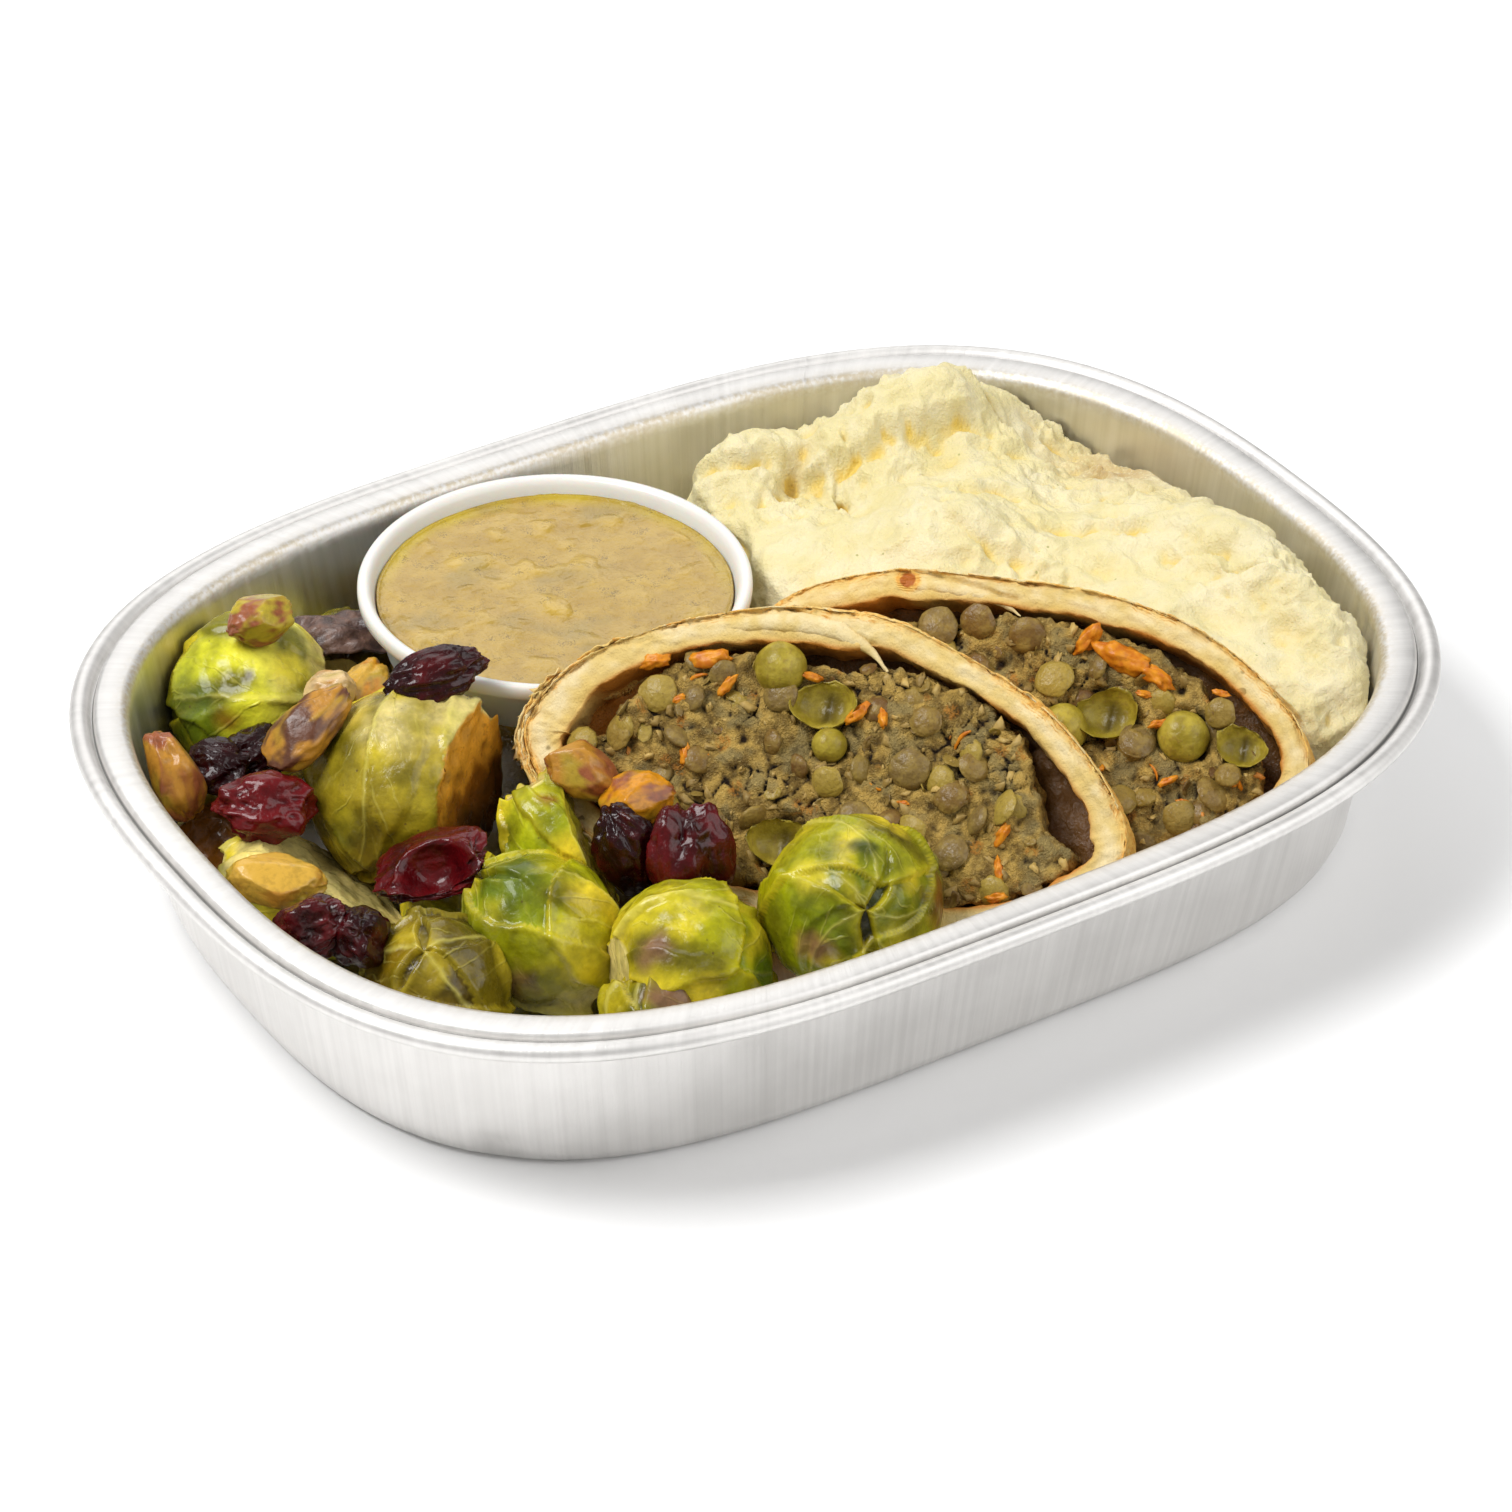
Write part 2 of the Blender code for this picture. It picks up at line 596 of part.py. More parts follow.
def aim(centre, direction):
    """A matrix that turns local +Z to the direction and moves the origin to the centre."""
    turn = Vector(direction).normalized().to_track_quat("Z", "Y").to_matrix().to_4x4()
    return Matrix.Translation(Vector(centre) * MM) @ turn


def sprout_form(point, seed):
    """A unit ball's point moved to a sprout's form: a blunt cut stem at +Z and lapped leaves round it."""
    turn = math.atan2(point.y, point.x)
    height = min(point.z, 0.88)
    leaf = ((turn + 0.9 * height) / (2 * math.pi) * 5 + 0.37 * seed) % 1.0
    lap = 1 + 0.055 * (leaf - 0.5) * (1 - height**2)
    slim = 1 - 0.16 * max(height, 0) ** 2
    return Vector((point.x * lap * slim, point.y * lap * slim, height))


def nut_form(point, seed):
    """A shelled pistachio: blunt at one end, with a groove along it where its halves part."""
    taper = 1 - 0.14 * point.z
    groove = 1 - 0.10 * math.exp(-((point.y / 0.3) ** 2)) * (point.x > 0)
    bump = 1 + 0.06 * noise.noise(point * 2.2 + Vector((seed, 0, 0)))
    return Vector((point.x * taper * groove * bump, point.y * taper * bump, point.z * bump))


def berry_form(point, seed):
    """A dried cranberry: folds run along it and its skin has sunk between them."""
    turn = math.atan2(point.y, point.x)
    fold = 1 + 0.10 * math.cos(3 * turn + seed) + 0.07 * math.cos(5 * turn - 2 * seed)
    bump = 1 + 0.16 * noise.noise(point * 1.7 + Vector((0, seed, 0)))
    return point * (fold * bump)


def make_ball(name, centre, half_sizes, direction, form, seed, rows, collection, material):
    mesh = bmesh.new()
    bmesh.ops.create_uvsphere(mesh, u_segments=rows[0], v_segments=rows[1], radius=1.0)
    for vertex in mesh.verts:
        formed = form(vertex.co, seed)
        vertex.co = Vector([c * size * MM for c, size in zip(formed, half_sizes)])
    bmesh.ops.transform(mesh, matrix=aim(centre, direction), verts=mesh.verts)
    if name in CUT_FACES:
        halve(mesh, Vector(centre), *CUT_FACES[name])
    return add_object(name, mesh, collection, material)


def halve(mesh, centre, looks, distance):
    """Slices the piece off beyond a plane and closes it with a flat face."""
    normal = Vector(looks).normalized()
    everything = mesh.verts[:] + mesh.edges[:] + mesh.faces[:]
    plane = (centre + normal * distance) * MM
    bmesh.ops.bisect_plane(mesh, geom=everything, plane_co=plane, plane_no=normal, clear_outer=True)
    bmesh.ops.holes_fill(mesh, edges=[edge for edge in mesh.edges if edge.is_boundary])


def make_leaf(collection, material):
    """A charred outer leaf, thin, cupped and wavy, that has come loose behind the sprouts."""
    mesh = bmesh.new()
    bmesh.ops.create_grid(mesh, x_segments=6, y_segments=4, size=1.0)
    half_length, half_width, cup = 8.5, 4.6, 1.6
    for vertex in mesh.verts:
        x, y = vertex.co.x, vertex.co.y * (1 - 0.35 * vertex.co.x**2)
        rise = cup * (x * x + y * y) + 0.7 * math.sin(4 * x + 2 * y)
        vertex.co = Vector((x * half_length, y * half_width, -rise)) * MM
    place = Matrix.Translation(Vector((-45.4, 49.8, 25.6)) * MM)
    turn = Matrix.Rotation(math.radians(-22), 4, "Z") @ Matrix.Rotation(math.radians(14), 4, "X")
    bmesh.ops.transform(mesh, matrix=place @ turn, verts=mesh.verts)
    bmesh.ops.triangulate(mesh, faces=mesh.faces)
    thickness = Vector((0, 0, 1.0 * MM))
    grown = bmesh.ops.extrude_face_region(mesh, geom=mesh.faces[:])
    bmesh.ops.translate(mesh, vec=thickness, verts=[v for v in grown["geom"] if isinstance(v, bmesh.types.BMVert)])
    return add_object("loose_leaf", mesh, collection, material)


def main():
    for thing in list(bpy.data.objects):
        bpy.data.objects.remove(thing)
    scene = bpy.context.scene.collection
    meal = bpy.data.collections.new("Tray of lentil wellington")
    cutters = bpy.data.collections.new("Cutters")
    scene.children.link(meal)
    scene.children.link(cutters)

    foil = finish_material("Foil", (0.78, 0.78, 0.78), 0.35, 1.0)
    plastic = finish_material("Cup plastic", (0.82, 0.83, 0.84), 0.4)
    gravy_look = finish_material("Gravy", (0.50, 0.40, 0.20), 0.25)
    pastry = finish_material("Pastry", (0.80, 0.62, 0.34), 0.7)
    lentils = finish_material("Lentil filling", (0.17, 0.14, 0.07), 0.6)
    potato = finish_material("Mashed potato", (0.87, 0.79, 0.46), 0.55)
    leaf = finish_material("Sprout leaves", (0.26, 0.36, 0.06), 0.35)
    char = finish_material("Charred leaf", (0.10, 0.06, 0.04), 0.5)
    nut = finish_material("Pistachio", (0.38, 0.20, 0.08), 0.4)
    berry = finish_material("Cranberry", (0.12, 0.01, 0.02), 0.2)

    make_tray(meal, foil)
    tray_room = make_tray_room(cutters)
    make_cup(meal, plastic)
    cup_room = make_cup_room(cutters)
    make_gravy(meal, gravy_look)

    front = make_crust("pastry_front", FRONT_CRUST, 0.0, 1.0, meal, pastry)
    make_filling("filling_front", FRONT_CRUST, FRONT_SHRINKS, FRONT_PEAS, 0.0, 3.0, meal, lentils)
    front_room = make_slice_room("front_room", FRONT_CRUST, 0.0, 0.6, cutters)
    back = make_crust("pastry_back", BACK_CRUST, SLICE_SPACING, 2.0, meal, pastry)
    back_filling = make_filling(
        "filling_back", BACK_CRUST, BACK_SHRINKS, BACK_PEAS, SLICE_SPACING, 4.0, meal, lentils
    )
    back_room = make_slice_room("back_room", BACK_CRUST, SLICE_SPACING, 0.6, cutters)
    cut(front, tray_room, "INTERSECT")
    cut(front, cup_room)
    cut(back, tray_room, "INTERSECT")
    cut(back_filling, front_room)

    placed = [cup_room, front_room]
    loose = [(row, sprout_form, (14, 9), leaf) for row in SPROUTS]
    loose += [(row, nut_form, (9, 6), nut) for row in PISTACHIOS]
    loose += [(row, berry_form, (10, 7), berry) for row in CRANBERRIES]
    for seed, ((name, centre, half_sizes, direction), form, rows, look) in enumerate(loose):
        piece = make_ball(name, centre, half_sizes, direction, form, seed, rows, meal, look)
        settle(piece, placed, tray_room)
        placed.append(grown_copy(piece, cutters))
    settle(make_leaf(meal, char), placed, tray_room)

    mash = make_mash(meal, potato)
    cut(mash, tray_room, "INTERSECT")
    for neighbour in (cup_room, front_room, back_room):
        cut(mash, neighbour)


def settle(piece, placed, tray_room):
    """Cuts a loose piece where it presses on the tray or on what was laid before it."""
    if reaches_tray(piece):
        cut(piece, tray_room, "INTERSECT")
    for neighbour in placed:
        if boxes_meet(piece, neighbour):
            cut(piece, neighbour)


def reaches_tray(piece):
    """Whether any point is within a gap of the tray's floor or its wall, taken at its narrowest."""
    for vertex in piece.data.vertices:
        x, y, z = (c / MM for c in vertex.co)
        part = min(max(z / TRAY_HEIGHT, 0), 1)
        length = BASE_HALF_LENGTH - 2 + part * (RIM_HALF_LENGTH - FLANGE_AND_BEAD - BASE_HALF_LENGTH)
        width = BASE_HALF_WIDTH - 2 + part * (RIM_HALF_WIDTH - FLANGE_AND_BEAD - BASE_HALF_WIDTH)
        if z < FOIL + GAP or abs(x / length) ** RIM_POWERS[0] + abs(y / width) ** RIM_POWERS[1] > 1:
            return True
    return False


main()
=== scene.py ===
import math

import bmesh
import bpy
import numpy as np
from mathutils import Matrix, Vector, noise


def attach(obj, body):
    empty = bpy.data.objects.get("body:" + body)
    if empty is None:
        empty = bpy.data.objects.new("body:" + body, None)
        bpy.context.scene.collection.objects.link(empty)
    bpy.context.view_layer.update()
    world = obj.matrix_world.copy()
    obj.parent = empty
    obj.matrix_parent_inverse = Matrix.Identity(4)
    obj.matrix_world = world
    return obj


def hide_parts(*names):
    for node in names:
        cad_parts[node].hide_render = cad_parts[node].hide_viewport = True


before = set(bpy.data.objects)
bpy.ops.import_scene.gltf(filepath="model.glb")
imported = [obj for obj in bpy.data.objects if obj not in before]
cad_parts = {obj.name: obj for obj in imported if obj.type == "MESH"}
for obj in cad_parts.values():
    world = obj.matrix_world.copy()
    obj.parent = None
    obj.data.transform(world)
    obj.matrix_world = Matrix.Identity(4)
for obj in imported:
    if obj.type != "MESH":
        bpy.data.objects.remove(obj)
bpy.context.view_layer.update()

# Camera, studio light and floor. The camera looks down on the meal from its front left corner. A soft key
# light on the left and a wide one on the right stand over a plain white table.

MM = 0.001
scene = bpy.context.scene
scene.view_settings.view_transform = "Standard"

to_right = Vector((0.84642, -0.53251, 0.00344))
to_top = Vector((0.30287, 0.48671, 0.81938))
to_viewer = Vector((-0.43800, -0.69250, 0.57324))
camera_aim = Vector((10.21, 17.25, 0)) * MM
camera_distance = 0.8806
lens = bpy.data.cameras.new("camera")
lens.lens = 131.62
lens.sensor_width = 36
lens.clip_start = 0.01
camera = bpy.data.objects.new("camera", lens)
camera.matrix_world = Matrix(
    [(to_right[i], to_top[i], to_viewer[i], (camera_aim + to_viewer * camera_distance)[i]) for i in range(3)]
    + [(0, 0, 0, 1)]
)
scene.collection.objects.link(camera)
scene.camera = camera

LAMPS = [
    ("key_light", (-0.46, 0.16, 0.78), 0.42, 7.4),
    ("side_light", (0.45, -0.62, 0.60), 0.80, 4.4),
    ("back_light", (0.30, 0.70, 0.66), 0.70, 2.4),
]
for name, place, size, power in LAMPS:
    light = bpy.data.lights.new(name, "AREA")
    light.size = size
    light.energy = power
    lamp = bpy.data.objects.new(name, light)
    lamp.location = place
    lamp.rotation_euler = (-Vector(place)).to_track_quat("-Z", "Y").to_euler()
    scene.collection.objects.link(lamp)

world = bpy.data.worlds.new("studio")
world.use_nodes = True
world.node_tree.nodes["Background"].inputs["Color"].default_value = (1.0, 0.995, 0.985, 1)
world.node_tree.nodes["Background"].inputs["Strength"].default_value = 0.35
scene.world = world


class Wire:
    """A socket of a node tree. Sums and products of wires add the nodes that work them out."""

    def __init__(self, tree, socket=None):
        self.tree = tree
        self.socket = socket

    def node(self, kind, sockets=None, output=0, **settings):
        """Adds a node with its settings and its sockets' values or wires, and gives one of its outputs."""
        made = self.tree.nodes.new(kind)
        for key, value in settings.items():
            setattr(made, key, value)
        for key, value in (sockets or {}).items():
            if isinstance(value, Wire):
                self.tree.links.new(value.socket, made.inputs[key])
            elif made.inputs[key].type == "RGBA" and len(value) == 3:
                made.inputs[key].default_value = (*value, 1)
            else:
                made.inputs[key].default_value = value
        return Wire(self.tree, made.outputs[output])

    def maths(self, operation, first, second=0.0):
        return self.node("ShaderNodeMath", {0: first, 1: second}, operation=operation)

    def __add__(self, other):
        return self.maths("ADD", self, other)

    def __mul__(self, other):
        return self.maths("MULTIPLY", self, other)

    def __sub__(self, other):
        return self.maths("SUBTRACT", self, other)

    def __rsub__(self, other):
        return self.maths("SUBTRACT", other, self)

    __radd__ = __add__
    __rmul__ = __mul__

    def rise(self, low, high):
        """0 below low and 1 above high, or the other way round where low is the larger."""
        sockets = {0: self, 1: low, 2: high}
        return self.node("ShaderNodeMapRange", sockets, interpolation_type="SMOOTHSTEP")

    def mix(self, first, second):
        """A colour from first, where this is 0, to second, where it is 1."""
        return self.node("ShaderNodeMix", {0: self, 6: first, 7: second}, output=2, data_type="RGBA")

    def stained(self, shade):
        """This colour multiplied by a shade from 0 to 1."""
        sockets = {0: 1.0, 6: self, 7: shade.mix((0, 0, 0), (1, 1, 1))}
        return self.node("ShaderNodeMix", sockets, output=2, data_type="RGBA", blend_type="MULTIPLY")

    def place(self):
        return self.node("ShaderNodeTexCoord", output=3)

    def grain(self, size, vector=None, detail=2.0, roughness=0.5):
        """Smooth noise from 0 to 1 whose blotches are about size millimetres across."""
        sockets = {"Vector": vector or self.place(), "Scale": 1 / (size * MM)}
        sockets.update({"Detail": detail, "Roughness": roughness})
        return self.node("ShaderNodeTexNoise", sockets)

    def cells(self, size, vector=None, output=0, **settings):
        sockets = {"Vector": vector or self.place(), "Scale": 1 / (size * MM)}
        return self.node("ShaderNodeTexVoronoi", sockets, output=output, **settings)

    def marked(self, name, output=2):
        """A value painted on the mesh's points: output 0 is its colour and 2 its number."""
        return self.node("ShaderNodeAttribute", output=output, attribute_name=name)

    def bump(self, height, depth):
        """The surface's normal where height, from 0 to 1, stands depth millimetres proud."""
        return self.node("ShaderNodeBump", {"Height": height, "Distance": depth * MM, "Strength": 1.0})


def finish(name, recipe, **constants):
    """A material whose recipe gives its colour, roughness and normal. Constants are set on their sockets."""
    material = bpy.data.materials.new(name)
    material.use_nodes = True
    tree = material.node_tree
    shader = tree.nodes["Principled BSDF"]
    for key, value in constants.items():
        shader.inputs[key.replace("_", " ")].default_value = value
    for key, wire in zip(("Base Color", "Roughness", "Normal"), recipe(Wire(tree))):
        tree.links.new(wire.socket, shader.inputs[key])
    return material


def table_top(wire):
    cloud = wire.grain(90)
    return (cloud.mix((0.93, 0.93, 0.93), (0.95, 0.95, 0.95)),)


bpy.ops.mesh.primitive_plane_add(size=6)
floor = bpy.context.object
floor.name = "table_top"
floor.data.materials.append(finish("table_top", table_top, Roughness=0.9))

# The foil tray. A sheet of aluminium is pressed in one stroke: the deep wall gathers in soft flutes, most at
# the corners, and the rim is a flat flange, a crease and a rolled bead. The foil is satin, not a mirror.

RIM = (103.1, 78.3, 3.36, 2.64)
BASE = (91.0, 65.3, 3.88, 2.69)
RIM_TOP = 31.3
WALL_FOOT = 3.4
WALL_HEIGHT = RIM_TOP - 4.8
FLANGE_WIDTH = (8.1, 8.1, 0, 0)
FOIL_THICKNESS = 0.4
BEAD_RADIUS = 1.0
FLANGE_INSETS = (
    (7.6, -0.25), (7.0, 0.0), (5.6, 0.05), (4.2, 0.1), (3.95, 0.0), (3.8, -0.5), (3.7, -1.2), (3.3, -1.5),
    (2.9, -1.45),
)
# Insets from the rim between which shade is painted dark into the crease.
CREASE_SHADE_INSETS = (3.2, 3.75)


def outline(half_length, half_width, power_x, power_y, count):
    """Evenly spaced (x, y) points round a rounded rectangle, |x/a|^p + |y/b|^q = 1."""
    turn = np.linspace(0, 2 * math.pi, 2881)
    cos, sin = np.cos(turn), np.sin(turn)
    x = half_length * np.sign(cos) * np.abs(cos) ** (2 / power_x)
    y = half_width * np.sign(sin) * np.abs(sin) ** (2 / power_y)
    along = np.concatenate([[0], np.cumsum(np.hypot(np.diff(x), np.diff(y)))])
    wanted = np.linspace(0, along[-1], count, endpoint=False)
    return np.stack([np.interp(wanted, along, x), np.interp(wanted, along, y)], axis=1)


def wavy(points, size, seed=0.0):
    """Smooth noise from -1 to 1 at each point, its waves about size millimetres long."""
    shift = (seed * 7.3, seed * 3.1, seed * 5.7)
    scaled = np.asarray(points, float) / size + shift
    return np.array([noise.noise(point) for point in scaled.tolist()])


def grid_faces(rows, columns, close_columns=True, close_rows=False):
    """Quads of a grid whose points run row by row."""
    over = np.arange(rows if close_rows else rows - 1)[:, None]
    along = np.arange(columns if close_columns else columns - 1)[None, :]
    next_row, next_column = (over + 1) % rows, (along + 1) % columns
    corners = [over * columns + along, over * columns + next_column]
    corners += [next_row * columns + next_column, next_row * columns + along]
    return np.stack(corners, axis=-1).reshape(-1, 4)


def piece(name, points, faces, material, slot, *nodes):
    """One object of the meal from points in millimetres, riding on the tray."""
    mesh = bpy.data.meshes.new(name)
    mesh.from_pydata((np.asarray(points, float) * MM).tolist(), [], [list(face) for face in faces])
    mesh.materials.append(material)
    mesh.shade_smooth()
    thing = bpy.data.objects.new(name, mesh)
    scene.collection.objects.link(thing)
    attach(thing, "root")
    if nodes:
        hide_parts(*nodes)
    return thing


def mark(thing, **marks):
    """Keeps numbers or colours for the points of the mesh, for its material."""
    for name, values in marks.items():
        values = np.asarray(values, np.float32)
        if values.ndim == 1:
            thing.data.attributes.new(name, "FLOAT", "POINT").data.foreach_set("value", values)
        else:
            colours = np.c_[values, np.ones(len(values), np.float32)].ravel()
            thing.data.attributes.new(name, "FLOAT_COLOR", "POINT").data.foreach_set("color", colours)


def clamped(values):
    return np.clip(values, 0, 1)


def near(points, centre, reach):
    """1 at the centre, fading smoothly to 0 past the reach along each axis."""
    return np.exp(-(((points - centre) / reach) ** 2).sum(axis=1))


def fan(middle, start, count, back=False):
    """Triangles from a middle point to the closed ring of points that begins at start."""
    pairs = [(start + i, start + (i + 1) % count) for i in range(count)]
    return [[middle, *(pair[::-1] if back else pair)] for pair in pairs]


def pressed_foil(wire):
    position = wire.place()
    plan = wire.node("ShaderNodeVectorMath", {0: position, 1: (1, 1, 0)}, operation="MULTIPLY")
    outwards = wire.node("ShaderNodeVectorMath", {0: plan}, operation="NORMALIZE")
    drawn = wire.node("ShaderNodeTexNoise", {"Vector": outwards, "Scale": 70, "Detail": 4})
    fine = wire.node("ShaderNodeTexNoise", {"Vector": outwards, "Scale": 330, "Detail": 2})
    cloud = wire.grain(14, detail=4)
    scuffs = wire.grain(0.7, detail=3)
    colour = (drawn * 0.5 + cloud * 0.5).rise(0.3, 0.7).mix((0.70, 0.685, 0.665), (0.83, 0.815, 0.795))
    # Painted shade: the crease by the bead is darkened almost to black.
    colour = (wire.marked("crease") * 0.85).mix(colour, (0.13, 0.13, 0.125))
    grease = wire.marked("grease") * (cloud * 0.5 + scuffs * 0.5).rise(0.38, 0.60)
    colour = (grease * 0.55).mix(colour, (0.50, 0.38, 0.16))
    rough = drawn * 0.20 + cloud * 0.16 + 0.24
    height = drawn * 0.45 + fine * 0.3 + scuffs * 0.25
    level = wire.node("ShaderNodeSeparateXYZ", {0: position}, output=2)
    flange = level.rise(0.0296, 0.0304)
    rough = rough + flange * 0.14
    return colour, rough, wire.bump(height, 0.10)


def make_tray():
    count = 720
    base, rim = np.array(BASE), np.array(RIM)
    foot = [base - (3.6, 3.6, 0, 0), base - (1.9, 1.9, 0, 0), base - (0.8, 0.8, 0, 0), base]
    sections = [base * (share, share, 1, 1) - (3.6, 3.6, 0, 0) for share in (0.25, 0.5, 0.75, 0.9)]
    levels = [0.0] * 4
    sections += foot
    levels += [0.0, 0.35, 1.2, WALL_FOOT]
    wall_top = rim - FLANGE_WIDTH
    for part in np.linspace(0, 1, 15)[1:]:
        sections.append(base + (wall_top - base) * part)
        levels.append(WALL_FOOT + WALL_HEIGHT * part)
    for inset, rise in FLANGE_INSETS:
        sections.append(rim - (inset, inset, 0, 0))
        levels.append(RIM_TOP - FOIL_THICKNESS + rise)
    for angle in np.radians(np.linspace(170, -75, 12)):
        inset = BEAD_RADIUS * (1 - math.cos(angle)) + FOIL_THICKNESS
        sections.append(rim - (inset, inset, 0, 0))
        levels.append(RIM_TOP - FOIL_THICKNESS - BEAD_RADIUS * (1 - math.sin(angle)))
    rows, crease, grease = [], [0.0], [0.0]
    for section, level in zip(sections, levels):
        ring = np.c_[outline(*section, count), np.full(count, level)]
        inset = rim[0] - section[0]
        # Marks the crease, where shade is painted.
        crease.append(np.full(count, float(CREASE_SHADE_INSETS[0] < inset < CREASE_SHADE_INSETS[1] and level > 29)))
        grease.append(np.full(count, clamped(1.2 - 1.4 * abs(inset - 7.7)) * float(level > 29)))
        outward = ring[:, :2] / np.linalg.norm(ring[:, :2], axis=1)[:, None]
        if 3 < level < 30.4 and section[0] < 96:
            share = min((level - 2.5) / 5, 1) * min((30.4 - level) / 4, 1)
            bearing = np.degrees(np.arctan2(ring[:, 1], ring[:, 0] * 0.78))
            corner = clamped(1 - np.abs(np.abs(bearing - 90) - 45) / 38)
            spots = np.c_[outward * 90, ring[:, 2] * 0.12]
            flutes = 0.42 * wavy(spots, 5.0, 1) + 0.22 * wavy(spots, 2.1, 2)
            uneven = np.clip(0.55 + 1.3 * wavy(spots, 24, 3), 0.08, 1.2)
            right = clamped(1 - np.hypot(ring[:, 0] - 88, ring[:, 1] + 40) / 34)
            ring[:, :2] += outward * (flutes * share * uneven * (0.22 + 0.75 * corner + 1.3 * right))[:, None]
        if section[0] > 96:
            ring[:, 2] += 0.10 * wavy(ring, 22, 4)
        rows.append(ring)
    dent = np.array([-76.4, -50.6, 3.2])
    points = np.vstack([[(0, 0, 0)], *rows])
    points[:, :2] += near(points, dent, (4.0, 4.0, 1.6))[:, None] * (0.6, 1.1)
    faces = (grid_faces(len(rows), count) + 1)[:, ::-1].tolist()
    faces += fan(0, 1, count)
    foil = finish("pressed_foil", pressed_foil, Metallic=1.0)
    tray = piece("foil_tray_pressed", points, faces, foil, "foil", "foil_tray")
    mark(tray, crease=np.hstack(crease), grease=np.hstack(grease))
    sheet = tray.modifiers.new("foil", "SOLIDIFY")
    sheet.thickness = FOIL_THICKNESS * MM
    sheet.offset = 1.0


make_tray()

FOOD_FLOOR = 0.7
FOOD_TOP = 44.7
FOOD_GAP = 0.9


def kept_in_tray(points):
    """Moves points that stand outside the tray's inner face, under its floor or too high back inside it."""
    part = clamped((points[:, 2] - WALL_FOOT) / WALL_HEIGHT)[:, None]
    section = np.array(BASE) + (np.array(RIM) - FLANGE_WIDTH - np.array(BASE)) * part
    ratio = [np.abs(points[:, i]) / (section[:, i] - FOOD_GAP) for i in range(2)]
    over = ratio[0] ** section[:, 2] + ratio[1] ** section[:, 3]
    shrink = np.where(over > 1, over ** (-1 / section[:, 2:].mean(axis=1)), 1.0)
    moved = points * np.c_[shrink, shrink, np.ones(len(points))]
    moved[:, 2] = np.maximum(moved[:, 2], FOOD_FLOOR)
    high = np.clip(moved[:, 2] - FOOD_TOP, 0, None)
    moved[:, 2] += np.tanh(high) - high
    return moved


# The gravy cup. A portion cup blown from thin white plastic, with a tapered wall and a rolled lip. It shows
# as a pale ring, and a little of its side shows behind the sprouts.

CUP_CENTRE = np.array([-14.5, 37.3])
CUP_FOOT = 0.85
CUP_SECTION = (
    (0.0, 0.0), (20.4, 0.0), (21.8, 0.25), (22.5, 1.0), (23.2, 4.0), (25.6, 14.0), (27.9, 24.0), (28.8, 27.6),
    (29.0, 27.9), (30.6, 27.95), (30.9, 28.3), (31.0, 29.2), (30.95, 29.9), (30.7, 30.35), (30.2, 30.5),
    (29.6, 30.45), (29.1, 30.1), (28.75, 29.4), (28.5, 28.6), (28.1, 27.0), (26.6, 20.5), (22.0, 1.6),
    (21.0, 1.0), (0.0, 1.0),
)


def turned(section, centre, foot, count):
    """Points and faces of a profile turned about an upright axis. It starts and ends on the axis."""
    turn = np.linspace(0, 2 * math.pi, count, endpoint=False)
    inner = section[1:-1]
    points = [(*centre, foot + section[0][1])]
    for radius, height in inner:
        points += [
            (centre[0] + radius * math.cos(a), centre[1] + radius * math.sin(a), foot + height) for a in turn
        ]
    points.append((*centre, foot + section[-1][1]))
    faces = (grid_faces(len(inner), count) + 1).tolist() + fan(0, 1, count, back=True)
    return np.array(points), faces + fan(len(points) - 1, 1 + (len(inner) - 1) * count, count)


def cup_plastic(wire):
    cloud = wire.grain(9, detail=3)
    colour = cloud.mix((0.70, 0.695, 0.65), (0.78, 0.775, 0.73))
    return colour, cloud * 0.15 + 0.24, wire.bump(wire.grain(1.4, detail=3), 0.03)


white_plastic = finish("cup_plastic", cup_plastic, Subsurface_Weight=0.25, Subsurface_Scale=0.002)
cup_points, cup_faces = turned(CUP_SECTION, CUP_CENTRE, CUP_FOOT, 144)
piece("gravy_cup_moulded", cup_points, cup_faces, white_plastic, "cup_plastic", "gravy_cup")

# The gravy. It is thick with onion and herbs: soft lumps show through its skin, dark flecks float in it, oil
# has gathered at the far edge, and it climbs a little where it meets the cup.

GRAVY_LEVEL = 28.4


def herb_gravy(wire):
    position = wire.place()
    drift = wire.node("ShaderNodeTexNoise", {"Scale": 160.0}, output=1)
    warped = wire.node("ShaderNodeMix", {0: 0.005, 6: position, 7: drift}, output=2, data_type="RGBA")
    lump = wire.marked("lump")
    oil = wire.marked("oil")
    cloud = wire.grain(7, detail=5)
    swirl = wire.grain(2.2, detail=4)
    body = (cloud * 0.6 + swirl * 0.4).rise(0.35, 0.65).mix((0.340, 0.208, 0.024), (0.425, 0.275, 0.042))
    body = (lump * 0.8).mix(body, (0.56, 0.375, 0.062))
    grey = wire.grain(12, detail=3).rise(0.54, 0.70) * 0.5
    body = grey.mix(body, (0.25, 0.185, 0.052))
    body = (oil * 0.9).mix(body, (0.46, 0.33, 0.022))
    flecks = wire.cells(4.4, warped, voronoi_dimensions="2D").rise(0.13, 0.08)
    flecks = flecks * wire.grain(7, detail=1).rise(0.44, 0.52)
    specks = wire.cells(2.4, warped, voronoi_dimensions="2D").rise(0.11, 0.07)
    specks = specks * wire.grain(4, detail=1).rise(0.46, 0.56)
    body = ((flecks + specks) * 0.65).mix(body, (0.12, 0.080, 0.018))
    height = cloud * 0.5 + swirl * 0.35 + wire.grain(0.7, detail=2) * 0.16
    return body, swirl * 0.16 + 0.10, wire.bump(height, 1.1)


